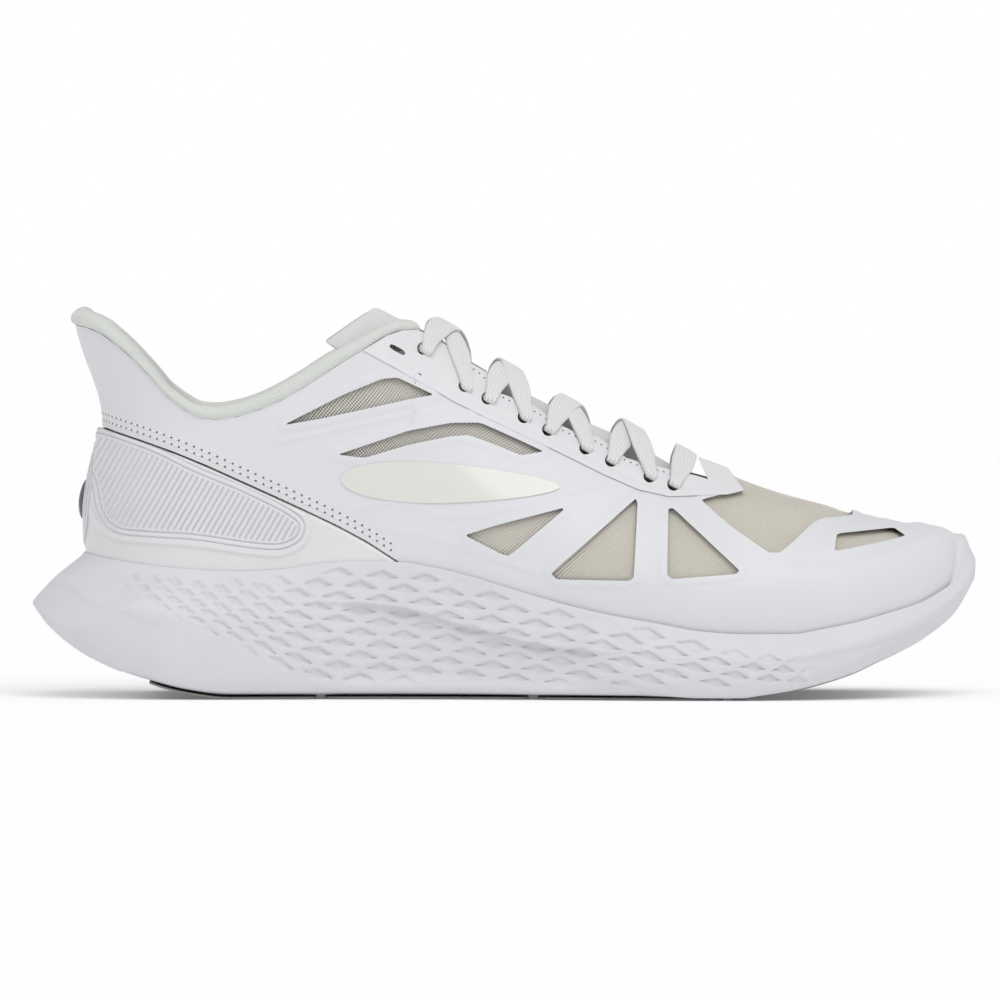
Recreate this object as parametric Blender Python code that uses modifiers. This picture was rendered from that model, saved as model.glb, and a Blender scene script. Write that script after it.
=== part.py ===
"""Running shoe, right foot, as separate pieces.

Metres, +X to the toe, +Y to the inner (medial) side, +Z up, the ground at z = 0.
Dimensions below are in millimetres and are turned to metres where points are made.
Every layer of the upper is an offset of one outer surface, surface_point().
"""
import math

import bmesh
import bpy
from mathutils import Vector

MM = 0.001
NAME = "running_shoe"

# Overall shape, in mm. Each curve is a list of (x, value).
TOE_X = 151.1
HEEL_X = -151.2
UPPER_TOE_X = 146.6
GAP = 0.3
SOLE_CURVE = [
    (-151.2, 29.7), (-149.8, 27), (-144.2, 21.4), (-133.8, 13.9), (-120, 7.5),
    (-106, 2.7), (-95.8, 0.8), (-88.7, 0), (0, 0), (75, 0), (82.8, 1), (91.8, 2.5),
    (102.2, 5), (112.6, 8.4), (119.5, 11.6), (130, 16.1), (136.9, 20.2),
    (143.8, 25.4), (148, 30.3), (151.1, 34.5),
]
RIM_CURVE = [
    (-134.9, 46), (-123.4, 44), (-106, 41.9), (-85.3, 40.8), (-71.4, 41.4),
    (-57.5, 43.4), (-45.8, 44.1), (-33.7, 43.8), (-21.9, 42), (-11, 39.4), (0, 36.1),
    (11.1, 32.8), (22.2, 29.8), (33.2, 27.3), (47.9, 24.7), (63.9, 21.9), (77.9, 21.1),
    (91.8, 21.1), (102.2, 22.7), (112.6, 24.7), (123, 27.5), (133.4, 30.6),
    (142.5, 34.8), (145.5, 40), (147.6, 50.4),
]
FOOTBED_CURVE = [
    (-135, 34.5), (-110, 32.5), (-90, 31.5), (-60, 31), (-30, 28.5), (0, 24.5),
    (30, 19.5), (60, 15.8), (85, 15), (105, 16.5), (125, 21), (140, 27.5), (147, 31.5),
]
RIDGE_CURVE = [
    (-145, 172), (-100, 170), (-60, 160), (-40, 141), (-30, 128.5), (-20, 118.5),
    (-13, 113.5), (5.4, 101.7), (21.4, 92.7), (42, 84.4), (56, 78.6), (64, 75.6),
    (71, 73), (79.9, 69.3), (88.1, 66.5), (96.2, 64.2), (104.4, 62), (112.6, 59.1),
    (120.8, 56.9), (127.3, 55.4), (135, 54.9), (141, 53.8), (146.6, 50.6),
]
SECTION_POWER = [
    (-145, 2.3), (-60, 2.2), (-40, 2.1), (-20, 1.95), (5, 1.72), (40, 1.52),
    (60, 1.52), (80, 1.7), (110, 2.0), (147, 2.2),
]
WIDEST_Z = [(-140, 46), (-40, 46), (0, 43), (40, 38), (75, 34), (110, 35), (147, 41)]
UPPER_OUTER = {  # half widths at the widest level, -1 lateral and +1 medial
    -1: [(-140, 34), (-100, 36), (-70, 37), (-40, 38), (0, 43), (40, 49), (75, 51),
         (100, 50), (147, 50)],
    1: [(-140, 33), (-100, 35), (-70, 36), (-40, 36.5), (0, 39), (40, 46), (75, 49),
        (100, 48), (147, 49)],
}
SOLE_OUTER = {
    -1: [(-150, 46), (-100, 46), (-70, 43.5), (-40, 42), (-10, 44), (20, 49.5),
         (50, 54), (75, 55), (100, 54), (151, 54)],
    1: [(-150, 45), (-100, 44), (-70, 41.5), (-40, 40), (-10, 40.5), (20, 43.5),
        (50, 50.5), (75, 55), (100, 53.5), (151, 53)],
}
TOE_SHIFT = [(-150, 0), (60, 0), (100, 2), (151, 7)]
HEEL_BACK = [
    (20, -131), (47, -133.2), (60, -133.6), (70, -132.2), (80, -130), (88, -128.8),
    (95, -129.8), (102, -132), (110, -135), (118, -137.2), (130, -139),
]
TOPLINE = [
    (-140, 119.5), (-133.3, 118.2), (-129.1, 116.6), (-123.6, 112.8), (-118, 108),
    (-112.5, 102.4), (-107, 96.2), (-101.4, 92), (-96.5, 89.6), (-91.7, 89.2),
    (-84.7, 90.2), (-77.8, 92.3), (-70.8, 95.4), (-63.9, 99.3), (-58.1, 103.1),
    (-51.2, 107.6), (-44.2, 111.7), (-37.3, 115.9), (-32.4, 117.5), (-27.6, 117.6),
    (-23.5, 116),
]
ROLL_HEIGHT = [(-140, 4.5), (-120, 4.6), (-100, 4.4), (-60, 5), (-40, 4), (-24, 2.4)]

# Layers of the upper: how far each one's outer face lies inside the outer surface.
SKIN = (0.0, 0.7)
MESH = (1.45, 0.45)
PUFF = (2.2, 0.35)
COUNTER = (1.45, 1.0)
LINING = (2.85, 0.8)
CLIP = (-0.9, 1.6)
PATCH = (-0.9, 0.6)

# Outlines of the pieces in the side view, (x, z).
PANEL_EDGE = [
    (-145, 91), (-129.1, 86.4), (-116.6, 82.6), (-105.5, 78.8), (-95.1, 74.6),
    (-81.3, 68.4), (-67.4, 62.1), (-54.2, 55.9), (-43.9, 50.4), (-33.7, 43.8),
    (-26, 38), (-14, 28), (-8, 20),
]
STAY_SEAM = [
    (-50, 113.8), (-45.3, 111.3), (-35.2, 105.9), (-31.8, 103.8), (-23.4, 99.3), (-16.5, 95.1),
    (-6.1, 89.9), (15.8, 79.5), (32.1, 71.5), (43.1, 66.7), (53, 64.5),
    (62, 64.7), (71.8, 64.9), (77, 66.1),
]
THROAT = [
    (-19.5, 113.6), (-13.7, 108.8), (-5.6, 104.1), (-1.5, 97.5), (10.2, 93.2), (18, 87.3),
    (24.1, 84.3), (30.4, 83.4), (39.4, 76.6), (49.7, 73.9), (60.5, 71.2),
    (65.5, 69.8),
]
WINDOWS = {
    "front_of_collar": [(-70.2, 87.5), (-51.3, 97.1), (-38.8, 102.2), (-33.8, 102.6),
                        (-22.2, 97.1), (-30.5, 95.6), (-44.2, 92.6), (-58, 89.6)],
    "chevron": [(-52.9, 78.1), (-40.7, 82.2), (-30.4, 85.7), (-16.5, 88.2),
                (-7.4, 88.2), (4.3, 83), (12.8, 79), (5.7, 77.8), (-2.6, 81.2),
                (-11, 84.3), (-16.5, 84), (-30.4, 81.2), (-44.2, 77.1)],
    "wedge": [(-12.4, 52.5), (-2, 55.8), (20.4, 61.6), (1.7, 46), (-0.7, 46.6)],
    "fan_middle": [(15.2, 40.5), (42.2, 64.1), (42.8, 62.4), (41.5, 39.5),
                   (39.9, 38.2), (16.9, 38.6)],
    "fan_front": [(52.6, 60.8), (54.2, 61), (75.1, 41.6), (74.2, 40.4), (53.8, 38.8),
                  (52.1, 40)],
    "vamp": [(63.2, 63.6), (66.1, 60.8), (71.8, 55.9), (79.9, 50.2), (84.8, 47.1),
             (88.1, 47.1), (91, 49.3), (98.7, 56.2), (102, 57.6), (112.6, 58.2),
             (113.5, 90), (84, 90), (79.3, 66.4)],
    "toe_slot": [(105.5, 47.3), (106.5, 52.9), (125, 54.3), (128.9, 51.7)],
}
EYELETS = [(-25.6, 111.8), (-12.3, 99.9), (-5, 95.9), (6.6, 89.9), (14.4, 85.8),
           (26.3, 79.9), (34.5, 76), (46.8, 71), (54.4, 68.4)]
SPARE_SLOT = [(-36.7, 112.2), (-35.9, 113.5), (-31.1, 110.7), (-31.9, 109.4)]
EYELET_RADIUS = 2.3

# Mesh density.
ALONG = 36
LOW_ROWS = 2
HIGH_ROWS = 8
SOLE_RINGS = 44
SIDE = {-1: "lateral", 1: "medial"}


def curve(points):
    """A smooth function through hand-set points, which never overshoots a level run."""
    xs = [p[0] for p in points]
    ys = [p[1] for p in points]
    steps = [(ys[i + 1] - ys[i]) / (xs[i + 1] - xs[i]) for i in range(len(xs) - 1)]
    slopes = [steps[0]]
    for before, after in zip(steps, steps[1:]):
        same = before * after > 0
        slopes.append(2 * before * after / (before + after) if same else 0.0)
    slopes.append(steps[-1])

    def value(x):
        if x <= xs[0]:
            return ys[0]
        if x >= xs[-1]:
            return ys[-1]
        i = max(k for k in range(len(xs) - 1) if xs[k] <= x)
        span = xs[i + 1] - xs[i]
        t = (x - xs[i]) / span
        return (
            ys[i] * (1 + 2 * t) * (1 - t) ** 2
            + ys[i + 1] * t * t * (3 - 2 * t)
            + slopes[i] * span * t * (1 - t) ** 2
            - slopes[i + 1] * span * t * t * (1 - t)
        )

    return value


sole_z = curve(SOLE_CURVE)
rim_z = curve(RIM_CURVE)
footbed_z = curve(FOOTBED_CURVE)
ridge_z = curve(RIDGE_CURVE)
section_power = curve(SECTION_POWER)
widest_z = curve(WIDEST_Z)
upper_outer = {side: curve(points) for side, points in UPPER_OUTER.items()}
sole_outer = {side: curve(points) for side, points in SOLE_OUTER.items()}
toe_shift = curve(TOE_SHIFT)
heel_back = curve(HEEL_BACK)
topline_z = curve(TOPLINE)
roll_height = curve(ROLL_HEIGHT)
panel_edge_z = curve(PANEL_EDGE)


def end_round(distance, length, power):
    """1 away from an end of the plan outline, falling to 0 at the end itself."""
    s = min(max(distance / length, 0.0), 1.0)
    return (1 - (1 - s) ** power) ** (1 / power)


def spread(a):
    """0..1 to 0..1, with points drawn towards both ends."""
    return (1 - math.cos(math.pi * a)) / 2


def feather_z(x):
    return footbed_z(x) + 0.6


def upper_half_width(side, x, z):
    """Half width of the upper's outer surface at a station and a height."""
    top = ridge_z(x)
    level = widest_z(x)
    power = section_power(x)
    base = upper_outer[side](x)
    base *= end_round(x - heel_back(z), 37, 2.15) * end_round(UPPER_TOE_X - x, 58, 2.1)
    if z <= level:
        depth = (level - z) / max(level - feather_z(x), 1)
        return base * (1 - 0.1 * depth * depth)
    t = min((z - level) / (top - level), 1.0)
    return base * (1 - t ** power) ** (1 / power)


def surface_point(side, a, b):
    """Outer surface of the upper: a runs heel to toe, b from the feather edge up."""
    z = 60.0
    for _ in range(5):
        back = heel_back(z)
        x = back + (UPPER_TOE_X - back) * spread(a)
        low = feather_z(x)
        level = widest_z(x)
        top = ridge_z(x)
        power = section_power(x)
        share = LOW_ROWS / (LOW_ROWS + HIGH_ROWS)
        if b <= share:
            z = low + (level - low) * b / share
            continue
        if x < -14:
            end = ((min(topline_z(x) + 9, top) - level) / (top - level)) ** (power / 2)
            limit = math.asin(min(end, 1.0))
        else:
            limit = math.pi / 2
        angle = limit * (b - share) / (1 - share)
        z = level + (top - level) * math.sin(angle) ** (2 / power)
    y = side * upper_half_width(side, x, z) + toe_shift(x)
    return Vector((x, y, z))


def surface_normal(side, a, b):
    """Outward unit normal of the outer surface, from small steps along it."""
    step = 0.004
    a0, a1 = max(a - step, 0.0), min(a + step, 1.0)
    b0, b1 = max(b - step, 0.0), min(b + step, 1.0)
    if a0 == 0.0 or a1 == 1.0:
        other = -side
        edge = a1 if a0 == 0.0 else a0
        along = surface_point(side, edge, b) - surface_point(other, edge, b)
        along *= 1 if a0 == 0.0 else -1
    else:
        along = surface_point(side, a1, b) - surface_point(side, a0, b)
    if b1 == 1.0 and limit_is_ridge(side, a):
        up = surface_point(-side, a, b0) - surface_point(side, a, b0)
    else:
        up = surface_point(side, a, b1) - surface_point(side, a, b0)
    normal = along.cross(up) * -side
    return normal.normalized()


def limit_is_ridge(side, a):
    return surface_point(side, a, 1.0).x > -14


def offset_point(side, a, b, depth):
    """A point of the layer that lies depth inside the outer surface."""
    point = surface_point(side, a, b) - surface_normal(side, a, b) * depth
    if a <= 0.0 or a >= 1.0:
        point.y = toe_shift(point.x)
    return point


def b_at_height(side, a, z):
    low, high = 0.0, 1.0
    for _ in range(24):
        middle = (low + high) / 2
        if surface_point(side, a, middle).z < z:
            low = middle
        else:
            high = middle
    return (low + high) / 2


def a_at_x(side, x, z):
    back = heel_back(z)
    return math.acos(1 - 2 * min(max((x - back) / (UPPER_TOE_X - back), 0), 1)) / math.pi


def on_surface(side, x, z, depth):
    """The layer's point seen at (x, z) from the side."""
    a = a_at_x(side, x, z)
    b = b_at_height(side, a, z)
    a = a_at_x(side, x, z)
    return offset_point(side, a, b, depth)


def over_throat(x, y, depth):
    """A point over the instep at (x, y), depth inside the virtual outer surface."""
    side = -1 if y < 0 else 1
    level = widest_z(x)
    power = section_power(x)
    share = min(abs(y) / upper_half_width(side, x, level), 0.999)
    z = level + (ridge_z(x) - level) * (1 - share ** power) ** (1 / power)
    a = a_at_x(side, x, z)
    return offset_point(side, a, b_at_height(side, a, z), depth)


# ---------------------------------------------------------------- making objects
def clear_scene():
    for obj in list(bpy.data.objects):
        bpy.data.objects.remove(obj, do_unlink=True)


clear_scene()
parts = bpy.data.collections.new(NAME)
cutters = bpy.data.collections.new("cutters")
bpy.context.scene.collection.children.link(parts)
bpy.context.scene.collection.children.link(cutters)
cutters.hide_render = True
materials = {}


def material(name, colour, roughness, metallic=0.0):
    if name not in materials:
        made = bpy.data.materials.new(name)
        made.use_nodes = True
        shader = made.node_tree.nodes["Principled BSDF"]
        shader.inputs["Base Color"].default_value = (*colour, 1)
        shader.inputs["Roughness"].default_value = roughness
        shader.inputs["Metallic"].default_value = metallic
        made.diffuse_color = (*colour, 1)
        materials[name] = made
    return materials[name]


WHITE_SKIN = ("white_film", (0.83, 0.83, 0.85), 0.5)
LEATHER = ("white_synthetic_leather", (0.8, 0.8, 0.82), 0.45)
FOAM = ("white_foam", (0.82, 0.83, 0.86), 0.7)
RUBBER = ("outsole_rubber", (0.35, 0.33, 0.32), 0.75)
TPU = ("moulded_tpu", (0.79, 0.77, 0.79), 0.4)
TULLE = ("sheer_mesh", (0.7, 0.69, 0.66), 0.8)
CREAM = ("cream_lining", (0.67, 0.62, 0.52), 0.9)
KNIT = ("knit_collar", (0.74, 0.77, 0.74), 0.9)
TONGUE_CLOTH = ("tongue_cloth", (0.77, 0.75, 0.76), 0.9)
LACE = ("lace_fabric", (0.83, 0.83, 0.81), 0.85)
BOARD = ("fibre_board", (0.72, 0.7, 0.65), 0.9)
REFLECTIVE = ("reflective_grey", (0.16, 0.16, 0.16), 0.35)
GLOSS = ("cream_gloss_film", (0.78, 0.79, 0.72), 0.25)


def to_object(name, mesh, look, folder=None):
    obj = bpy.data.objects.new(name, mesh)
    (folder or parts).objects.link(obj)
    if look:
        mesh.materials.append(material(*look))
    return obj


def finish_bmesh(name, bm, look, folder=None):
    bmesh.ops.remove_doubles(bm, verts=bm.verts, dist=1e-6)
    bmesh.ops.recalc_face_normals(bm, faces=bm.faces)
    mesh = bpy.data.meshes.new(name)
    bm.to_mesh(mesh)
    bm.free()
    return to_object(name, mesh, look, folder)


def skin_layer(name, depth, thickness, look, first=0, last=ALONG, sides=(-1, 1)):
    """One layer of the upper: a grid laid on an offset of the outer surface, thickened.

    first and last are columns of one shared grid, so that neighbouring layers run parallel.
    """
    bm = bmesh.new()
    rows = LOW_ROWS + HIGH_ROWS
    cells = last - first
    for side in sides:
        made = bmesh.ops.create_grid(bm, x_segments=cells, y_segments=rows, size=1)
        for vert in made["verts"]:
            a = (first + round((vert.co.x + 1) / 2 * cells)) / ALONG
            b = round((vert.co.y + 1) / 2 * rows) / rows
            vert.co = offset_point(side, a, b, depth) * MM
    bmesh.ops.remove_doubles(bm, verts=bm.verts, dist=1e-6)
    bmesh.ops.dissolve_degenerate(bm, edges=bm.edges, dist=1e-6)
    bmesh.ops.recalc_face_normals(bm, faces=bm.faces)
    centre = Vector((0.0, 0.0, 0.05))
    face = max(bm.faces, key=lambda f: abs(f.calc_center_median().y))
    if face.normal.dot(face.calc_center_median() - centre) < 0:
        bmesh.ops.reverse_faces(bm, faces=bm.faces)
    mesh = bpy.data.meshes.new(name)
    bm.to_mesh(mesh)
    bm.free()
    obj = to_object(name, mesh, look)
    solid = obj.modifiers.new("thickness", "SOLIDIFY")
    solid.thickness = thickness * MM
    solid.offset = -1
    return obj


def prism(name, outline, low_y, high_y, more=()):
    """A cutter: one or more side-view outlines drawn through from low_y to high_y."""
    bm = bmesh.new()
    for points in (outline, *more):
        verts = [bm.verts.new(Vector((x, low_y, z)) * MM) for x, z in points]
        face = bm.faces.new(verts)
        made = bmesh.ops.extrude_face_region(bm, geom=[face])
        moved = [v for v in made["geom"] if isinstance(v, bmesh.types.BMVert)]
        bmesh.ops.translate(bm, verts=moved, vec=Vector((0, (high_y - low_y) * MM, 0)))
    obj = finish_bmesh(name, bm, None, cutters)
    obj.display_type = "WIRE"
    obj.hide_render = True
    return obj


def boolean(obj, cutter, operation):
    cut = obj.modifiers.new(operation.lower(), "BOOLEAN")
    cut.operation = operation
    cut.solver = "EXACT"
    cut.use_self = True
    cut.object = cutter


def loft(name, rings, look, capped=True):
    """A closed solid through rings of equal length; its sections differ in shape."""
    bm = bmesh.new()
    made = [[bm.verts.new(Vector(p) * MM) for p in ring] for ring in rings]
    count = len(made[0])
    for first, second in zip(made, made[1:]):
        for k in range(count):
            n = (k + 1) % count
            bm.faces.new((first[k], first[n], second[n], second[k]))
    if capped:
        bm.faces.new(made[0])
        bm.faces.new(made[-1])
    bmesh.ops.remove_doubles(bm, verts=bm.verts, dist=1e-6)
    bmesh.ops.dissolve_degenerate(bm, edges=bm.edges, dist=1e-6)
    bmesh.ops.recalc_face_normals(bm, faces=bm.faces)
    mesh = bpy.data.meshes.new(name)
    bm.to_mesh(mesh)
    bm.free()
    return to_object(name, mesh, look)


# ---------------------------------------------------------------- the sole
def sole_plan(side, a, inset):
    """Plan outline of the sole at a share a from heel to toe, moved in by inset."""
    x = HEEL_X + inset + (TOE_X - HEEL_X - 2 * inset) * spread(a)
    half = sole_outer[side](x) - inset
    half *= end_round(x - HEEL_X - inset, 44, 2.3) * end_round(TOE_X - inset - x, 62, 2.0)
    return x, side * half + toe_shift(x)


def rim_plan(side, a, out):
    """Plan point of the midsole's upper edge, out beyond the upper's surface."""
    back = heel_back(46) - out
    front = UPPER_TOE_X + out
    x = back + (front - back) * spread(a)
    z = rim_z(x)
    inside = min(max(x, heel_back(46)), UPPER_TOE_X)
    half = upper_outer[side](inside) + out
    half *= end_round(x - back, 37 + out, 2.15) * end_round(front - x, 58 + out, 2.1)
    if z < widest_z(x):
        depth = (widest_z(x) - z) / max(widest_z(x) - feather_z(x), 1)
        half *= 1 - 0.1 * depth * depth
    else:
        t = min((z - widest_z(x)) / (ridge_z(x) - widest_z(x)), 0.97)
        half *= (1 - t ** section_power(x)) ** (1 / section_power(x))
    return x, side * half + toe_shift(x), z


TREAD = 1.2
SEAT = 0.8  # clearance between the foam cup and the upper that sits in it
under_cut = curve([(-151, 0), (-124, 0), (-116, TREAD), (128, TREAD), (140, 0), (152, 0)])
# How high the widest line of the foam's side stands; it runs down to a point at the heel.
sole_fullness = curve([(-151.2, 0.02), (-140, 0.3), (-115, 1), (152, 1)])


def midsole_side(side, a):
    """Profile of one side, from the middle of the bottom round to the footbed."""
    points = []
    fullness = sole_fullness(sole_plan(side, a, 0.0)[0])
    for inset, share in ((14, 0.0), (3.5, 0.04), (0.7, 0.3), (0.0, 0.6)):
        x, y = sole_plan(side, a, inset)
        bottom = sole_z(x) + under_cut(x)
        height = max(rim_z(x) - bottom, 6)
        points.append((x, y, bottom + share * fullness * height))
    outer = rim_plan(side, a, 1.9)
    belly = points[-1]
    share = 0.42
    points.append((
        belly[0] + (outer[0] - belly[0]) * share,
        belly[1] + (outer[1] - belly[1]) * share,
        belly[2] + (outer[2] - belly[2]) * 0.5,
    ))
    points.append(outer)
    inner = rim_plan(side, a, SEAT)
    points.append((inner[0], inner[1], inner[2] - 0.4))
    back = heel_back(36) - SEAT
    front = UPPER_TOE_X + SEAT
    x = back + (front - back) * spread(a)
    z = feather_z(x)
    half = upper_outer[side](x) * 0.9 + SEAT
    half *= end_round(x - back, 37 + SEAT, 2.15) * end_round(front - x, 58 + SEAT, 2.1)
    points.append((x, side * half + toe_shift(x), z - 0.6))
    points.append((x, side * half * 0.5 + toe_shift(x), z - 0.6))
    return points


def midsole():
    rings = []
    for i in range(SOLE_RINGS + 1):
        a = i / SOLE_RINGS
        lateral = midsole_side(-1, a)
        medial = midsole_side(1, a)
        rings.append(lateral + medial[::-1])
    return loft("midsole", rings, FOAM, capped=False)


def slab(name, x0, x1, low, high, edges, look, stations=10, columns=5, dish=0.0):
    """A plate that follows the last: low and high give z, edges gives both y limits."""
    rings = []
    for i in range(stations + 1):
        x = x0 + (x1 - x0) * spread(i / stations)
        y0, y1 = edges(x)
        top = []
        bottom = []
        for k in range(columns + 1):
            v = k / columns
            lift = dish * abs(2 * v - 1) ** 4
            y = y0 + (y1 - y0) * v
            top.append((x, y, high(x) + lift))
            bottom.append((x, y, low(x) + lift * 0.75))
        rings.append(bottom + top[::-1])
    return loft(name, rings, look)


def tread_pods():
    """Rubber pads under the foam, parted by flex grooves and a groove down the middle."""
    groove = 3.0
    for label, x0, x1, sides in (
        ("heel", -113, -60, (-1, 1)),
        ("waist", -57, 8, (-1,)),
        ("ball", 11, 70, (-1, 1)),
        ("toe", 73, 126, (-1, 1)),
    ):
        for side in sides:
            def edges(x, side=side, x0=x0, x1=x1):
                inset = 6.5
                half = sole_outer[side](x) - inset
                half *= end_round(x - HEEL_X - inset, 44, 2.3)
                half *= end_round(TOE_X - inset - x, 62, 2.0)
                corner = end_round(x - x0 + 1.5, 6, 2) * end_round(x1 + 1.5 - x, 6, 2)
                outer = groove + (half - groove) * (0.8 + 0.2 * corner)
                pair = sorted((side * groove, side * outer))
                return pair[0] + toe_shift(x), pair[1] + toe_shift(x)

            slab("outsole_%s_%s" % (label, SIDE[side]), x0, x1, sole_z,
                 lambda x: sole_z(x) + TREAD - GAP, edges, RUBBER, 8, 2)


def inner_edges(clear, z_above=0.0):
    """y limits of a board that lies inside the upper's layers."""
    def edges(x):
        pair = []
        for side in (-1, 1):
            z = feather_z(x) + z_above
            half = upper_half_width(side, x, z) - clear
            pair.append(side * max(half, 1.5) + toe_shift(x))
        return pair[0], pair[1]
    return edges


def boards():
    slab("strobel_board", -125, 139, lambda x: footbed_z(x) + GAP,
         lambda x: footbed_z(x) + 1.7, inner_edges(6.2), BOARD, 20, 4)
    slab("sockliner", -126, 137, lambda x: footbed_z(x) + 2.0,
         lambda x: footbed_z(x) + 6.2, inner_edges(7.6, 3.0), CREAM, 22, 6, dish=3.0)


# ---------------------------------------------------------------- the upper
TALL = 260
BACK = -170
FRONT = 170
DEEP = -10


def region(name, outline, sides):
    low = 0.2 if sides == (1,) else -90
    high = -0.2 if sides == (-1,) else 90
    return prism(name, outline, low, high)


def eyelet_outlines():
    rings = []
    for x, z in EYELETS:
        rings.append([
            (x + EYELET_RADIUS * math.cos(k * math.pi / 3 + 0.5),
             z + EYELET_RADIUS * math.sin(k * math.pi / 3 + 0.5)) for k in range(6)
        ])
    rings.append(SPARE_SLOT)
    return rings


VAMP_JOIN = 96
MESH_FRONT = 143.5
PUFF_FRONT = 142
LINING_FRONT = 140.5
def throat_cutter():
    return prism("cut_throat", [(-19.5, TALL)] + THROAT + [(70.5, 71.6), (70.5, TALL)], -90, 90)


def topline_cutter():
    line = [(BACK, TOPLINE[0][1])] + TOPLINE + [(-19.5, 113.6), (-13.7, 108.8 + 60)]
    return prism("cut_topline", line + [(-13.7, TALL), (BACK, TALL)], -90, 90)


def upper():
    cut_throat = throat_cutter()
    cut_top = topline_cutter()
    holes = eyelet_outlines()
    cut_holes = prism("cut_eyelets", holes[0], -90, 90, holes[1:])
    names = list(WINDOWS)
    cut_windows = prism("cut_windows", WINDOWS[names[0]], -90, 90,
                        [WINDOWS[n] for n in names[1:]])

    # Outer skin: cage with see-through windows, then the heel quarter behind it.
    cage_back = [
        (-145, 60), (-145, 150), (-50, 150), (-50, 113.6),
    ]
    seam = [(x, z - 0.2) for x, z in STAY_SEAM]
    edge = [(x + 0.3, z + 0.2) for x, z in PANEL_EDGE]
    cage_poly = cage_back + seam + [(80.2, 66.2), (84, 110), (FRONT, 110), (FRONT, DEEP)]
    cage_poly += [(0, DEEP)] + edge[::-1]
    for side in (-1, 1):
        outline = [(min(x, VAMP_JOIN - 0.15), z) for x, z in cage_poly]
        piece = skin_layer("quarter_skin_" + SIDE[side], *SKIN, WHITE_SKIN, 0, 29, (side,))
        boolean(piece, region("keep_quarter_" + SIDE[side], dedupe(outline), (side,)),
                "INTERSECT")
        boolean(piece, cut_top, "DIFFERENCE")
        boolean(piece, cut_windows, "DIFFERENCE")
    toe = skin_layer("toe_skin", *SKIN, WHITE_SKIN, 21, ALONG)
    boolean(toe, prism("keep_toe", [(VAMP_JOIN + 0.15, DEEP), (FRONT, DEEP), (FRONT, 110),
                                    (VAMP_JOIN + 0.15, 110)], -90, 90), "INTERSECT")
    boolean(toe, cut_windows, "DIFFERENCE")

    # Moulded clip round the heel, below the quarter's stitched edge.
    clip = skin_layer("heel_clip", *CLIP, TPU, 0, 16)
    lower = [(x - 0.2, z - 0.2) for x, z in PANEL_EDGE[:10]]
    clip_poly = [(BACK, 92)] + lower + [(-34.5, DEEP), (BACK, DEEP)]
    boolean(clip, prism("keep_clip", clip_poly, -90, 90), "INTERSECT")
    rim_line = [(x, rim_z(x) + 0.35) for x in (-155, -134.9, -123, -106, -85, -71, -57, -46, -35, -20)]
    boolean(clip, prism("cut_clip_foot", [(BACK, DEEP), (BACK, 46.4)] + rim_line
                        + [(-20, DEEP)], -90, 90), "DIFFERENCE")

    # Stays that carry the eyelets on both sides of the throat.
    for side in (-1, 1):
        stay = skin_layer("eyestay_" + SIDE[side], *SKIN, LEATHER, 8, 28, (side,))
        stay_poly = [(x, z + 0.2) for x, z in STAY_SEAM] + [(80.6, TALL), (-50, TALL)]
        boolean(stay, region("keep_stay_" + SIDE[side], stay_poly, (side,)), "INTERSECT")
        boolean(stay, cut_top, "DIFFERENCE")
        boolean(stay, cut_throat, "DIFFERENCE")
        boolean(stay, cut_holes, "DIFFERENCE")

    # Sheer mesh under the skin, in three pieces, and the lining inside it.
    mesh_back = -72
    for side in (-1, 1):
        mesh = skin_layer("mesh_" + SIDE[side], *MESH, TULLE, 7, 26, (side,))
        keep = [(mesh_back, DEEP), (61, DEEP), (61, TALL), (mesh_back, TALL)]
        boolean(mesh, region("keep_mesh_" + SIDE[side], keep, (side,)), "INTERSECT")
        boolean(mesh, cut_throat, "DIFFERENCE")
        boolean(mesh, cut_top, "DIFFERENCE")
        boolean(mesh, cut_holes, "DIFFERENCE")
    vamp = skin_layer("mesh_vamp", *MESH, TULLE, 19, ALONG)
    boolean(vamp, prism("keep_vamp", [(61.3, DEEP), (MESH_FRONT, DEEP),
                                      (MESH_FRONT, TALL), (61.3, TALL)], -90, 90), "INTERSECT")
    boolean(vamp, cut_throat, "DIFFERENCE")
    counter = skin_layer("heel_counter", *COUNTER, BOARD, 0, 13)
    boolean(counter, prism("keep_counter", [(BACK, DEEP), (mesh_back - GAP, DEEP),
                                            (mesh_back - GAP, 62), (BACK, 84)],
                           -90, 90), "INTERSECT")
    puff = skin_layer("toe_puff", *PUFF, BOARD, 25, ALONG)
    boolean(puff, prism("keep_puff", [(114, DEEP), (PUFF_FRONT, DEEP),
                                      (PUFF_FRONT, TALL), (114, TALL)], -90, 90), "INTERSECT")
    lining = skin_layer("lining", *LINING, CREAM)
    boolean(lining, prism("cut_lining_toe", [(LINING_FRONT, DEEP), (FRONT, DEEP),
                                              (FRONT, TALL), (LINING_FRONT, TALL)],
                          -90, 90), "DIFFERENCE")
    lining_top = [(BACK, 88.5), (-128, 84), (-118, 76), (-104, 60), (-92, 56), (-75, 62),
                  (-58, 75), (-48, 88), (-36, 98), (-20, 113.6), (-13.7, 108.8 + 60)]
    boolean(lining, prism("cut_lining_top", lining_top + [(-13.7, TALL), (BACK, TALL)],
                          -90, 90), "DIFFERENCE")
    boolean(lining, cut_throat, "DIFFERENCE")
    boolean(lining, cut_holes, "DIFFERENCE")


def dedupe(points):
    kept = [points[0]]
    for point in points[1:]:
        if max(abs(point[0] - kept[-1][0]), abs(point[1] - kept[-1][1])) > 1e-6:
            kept.append(point)
    return kept


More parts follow.
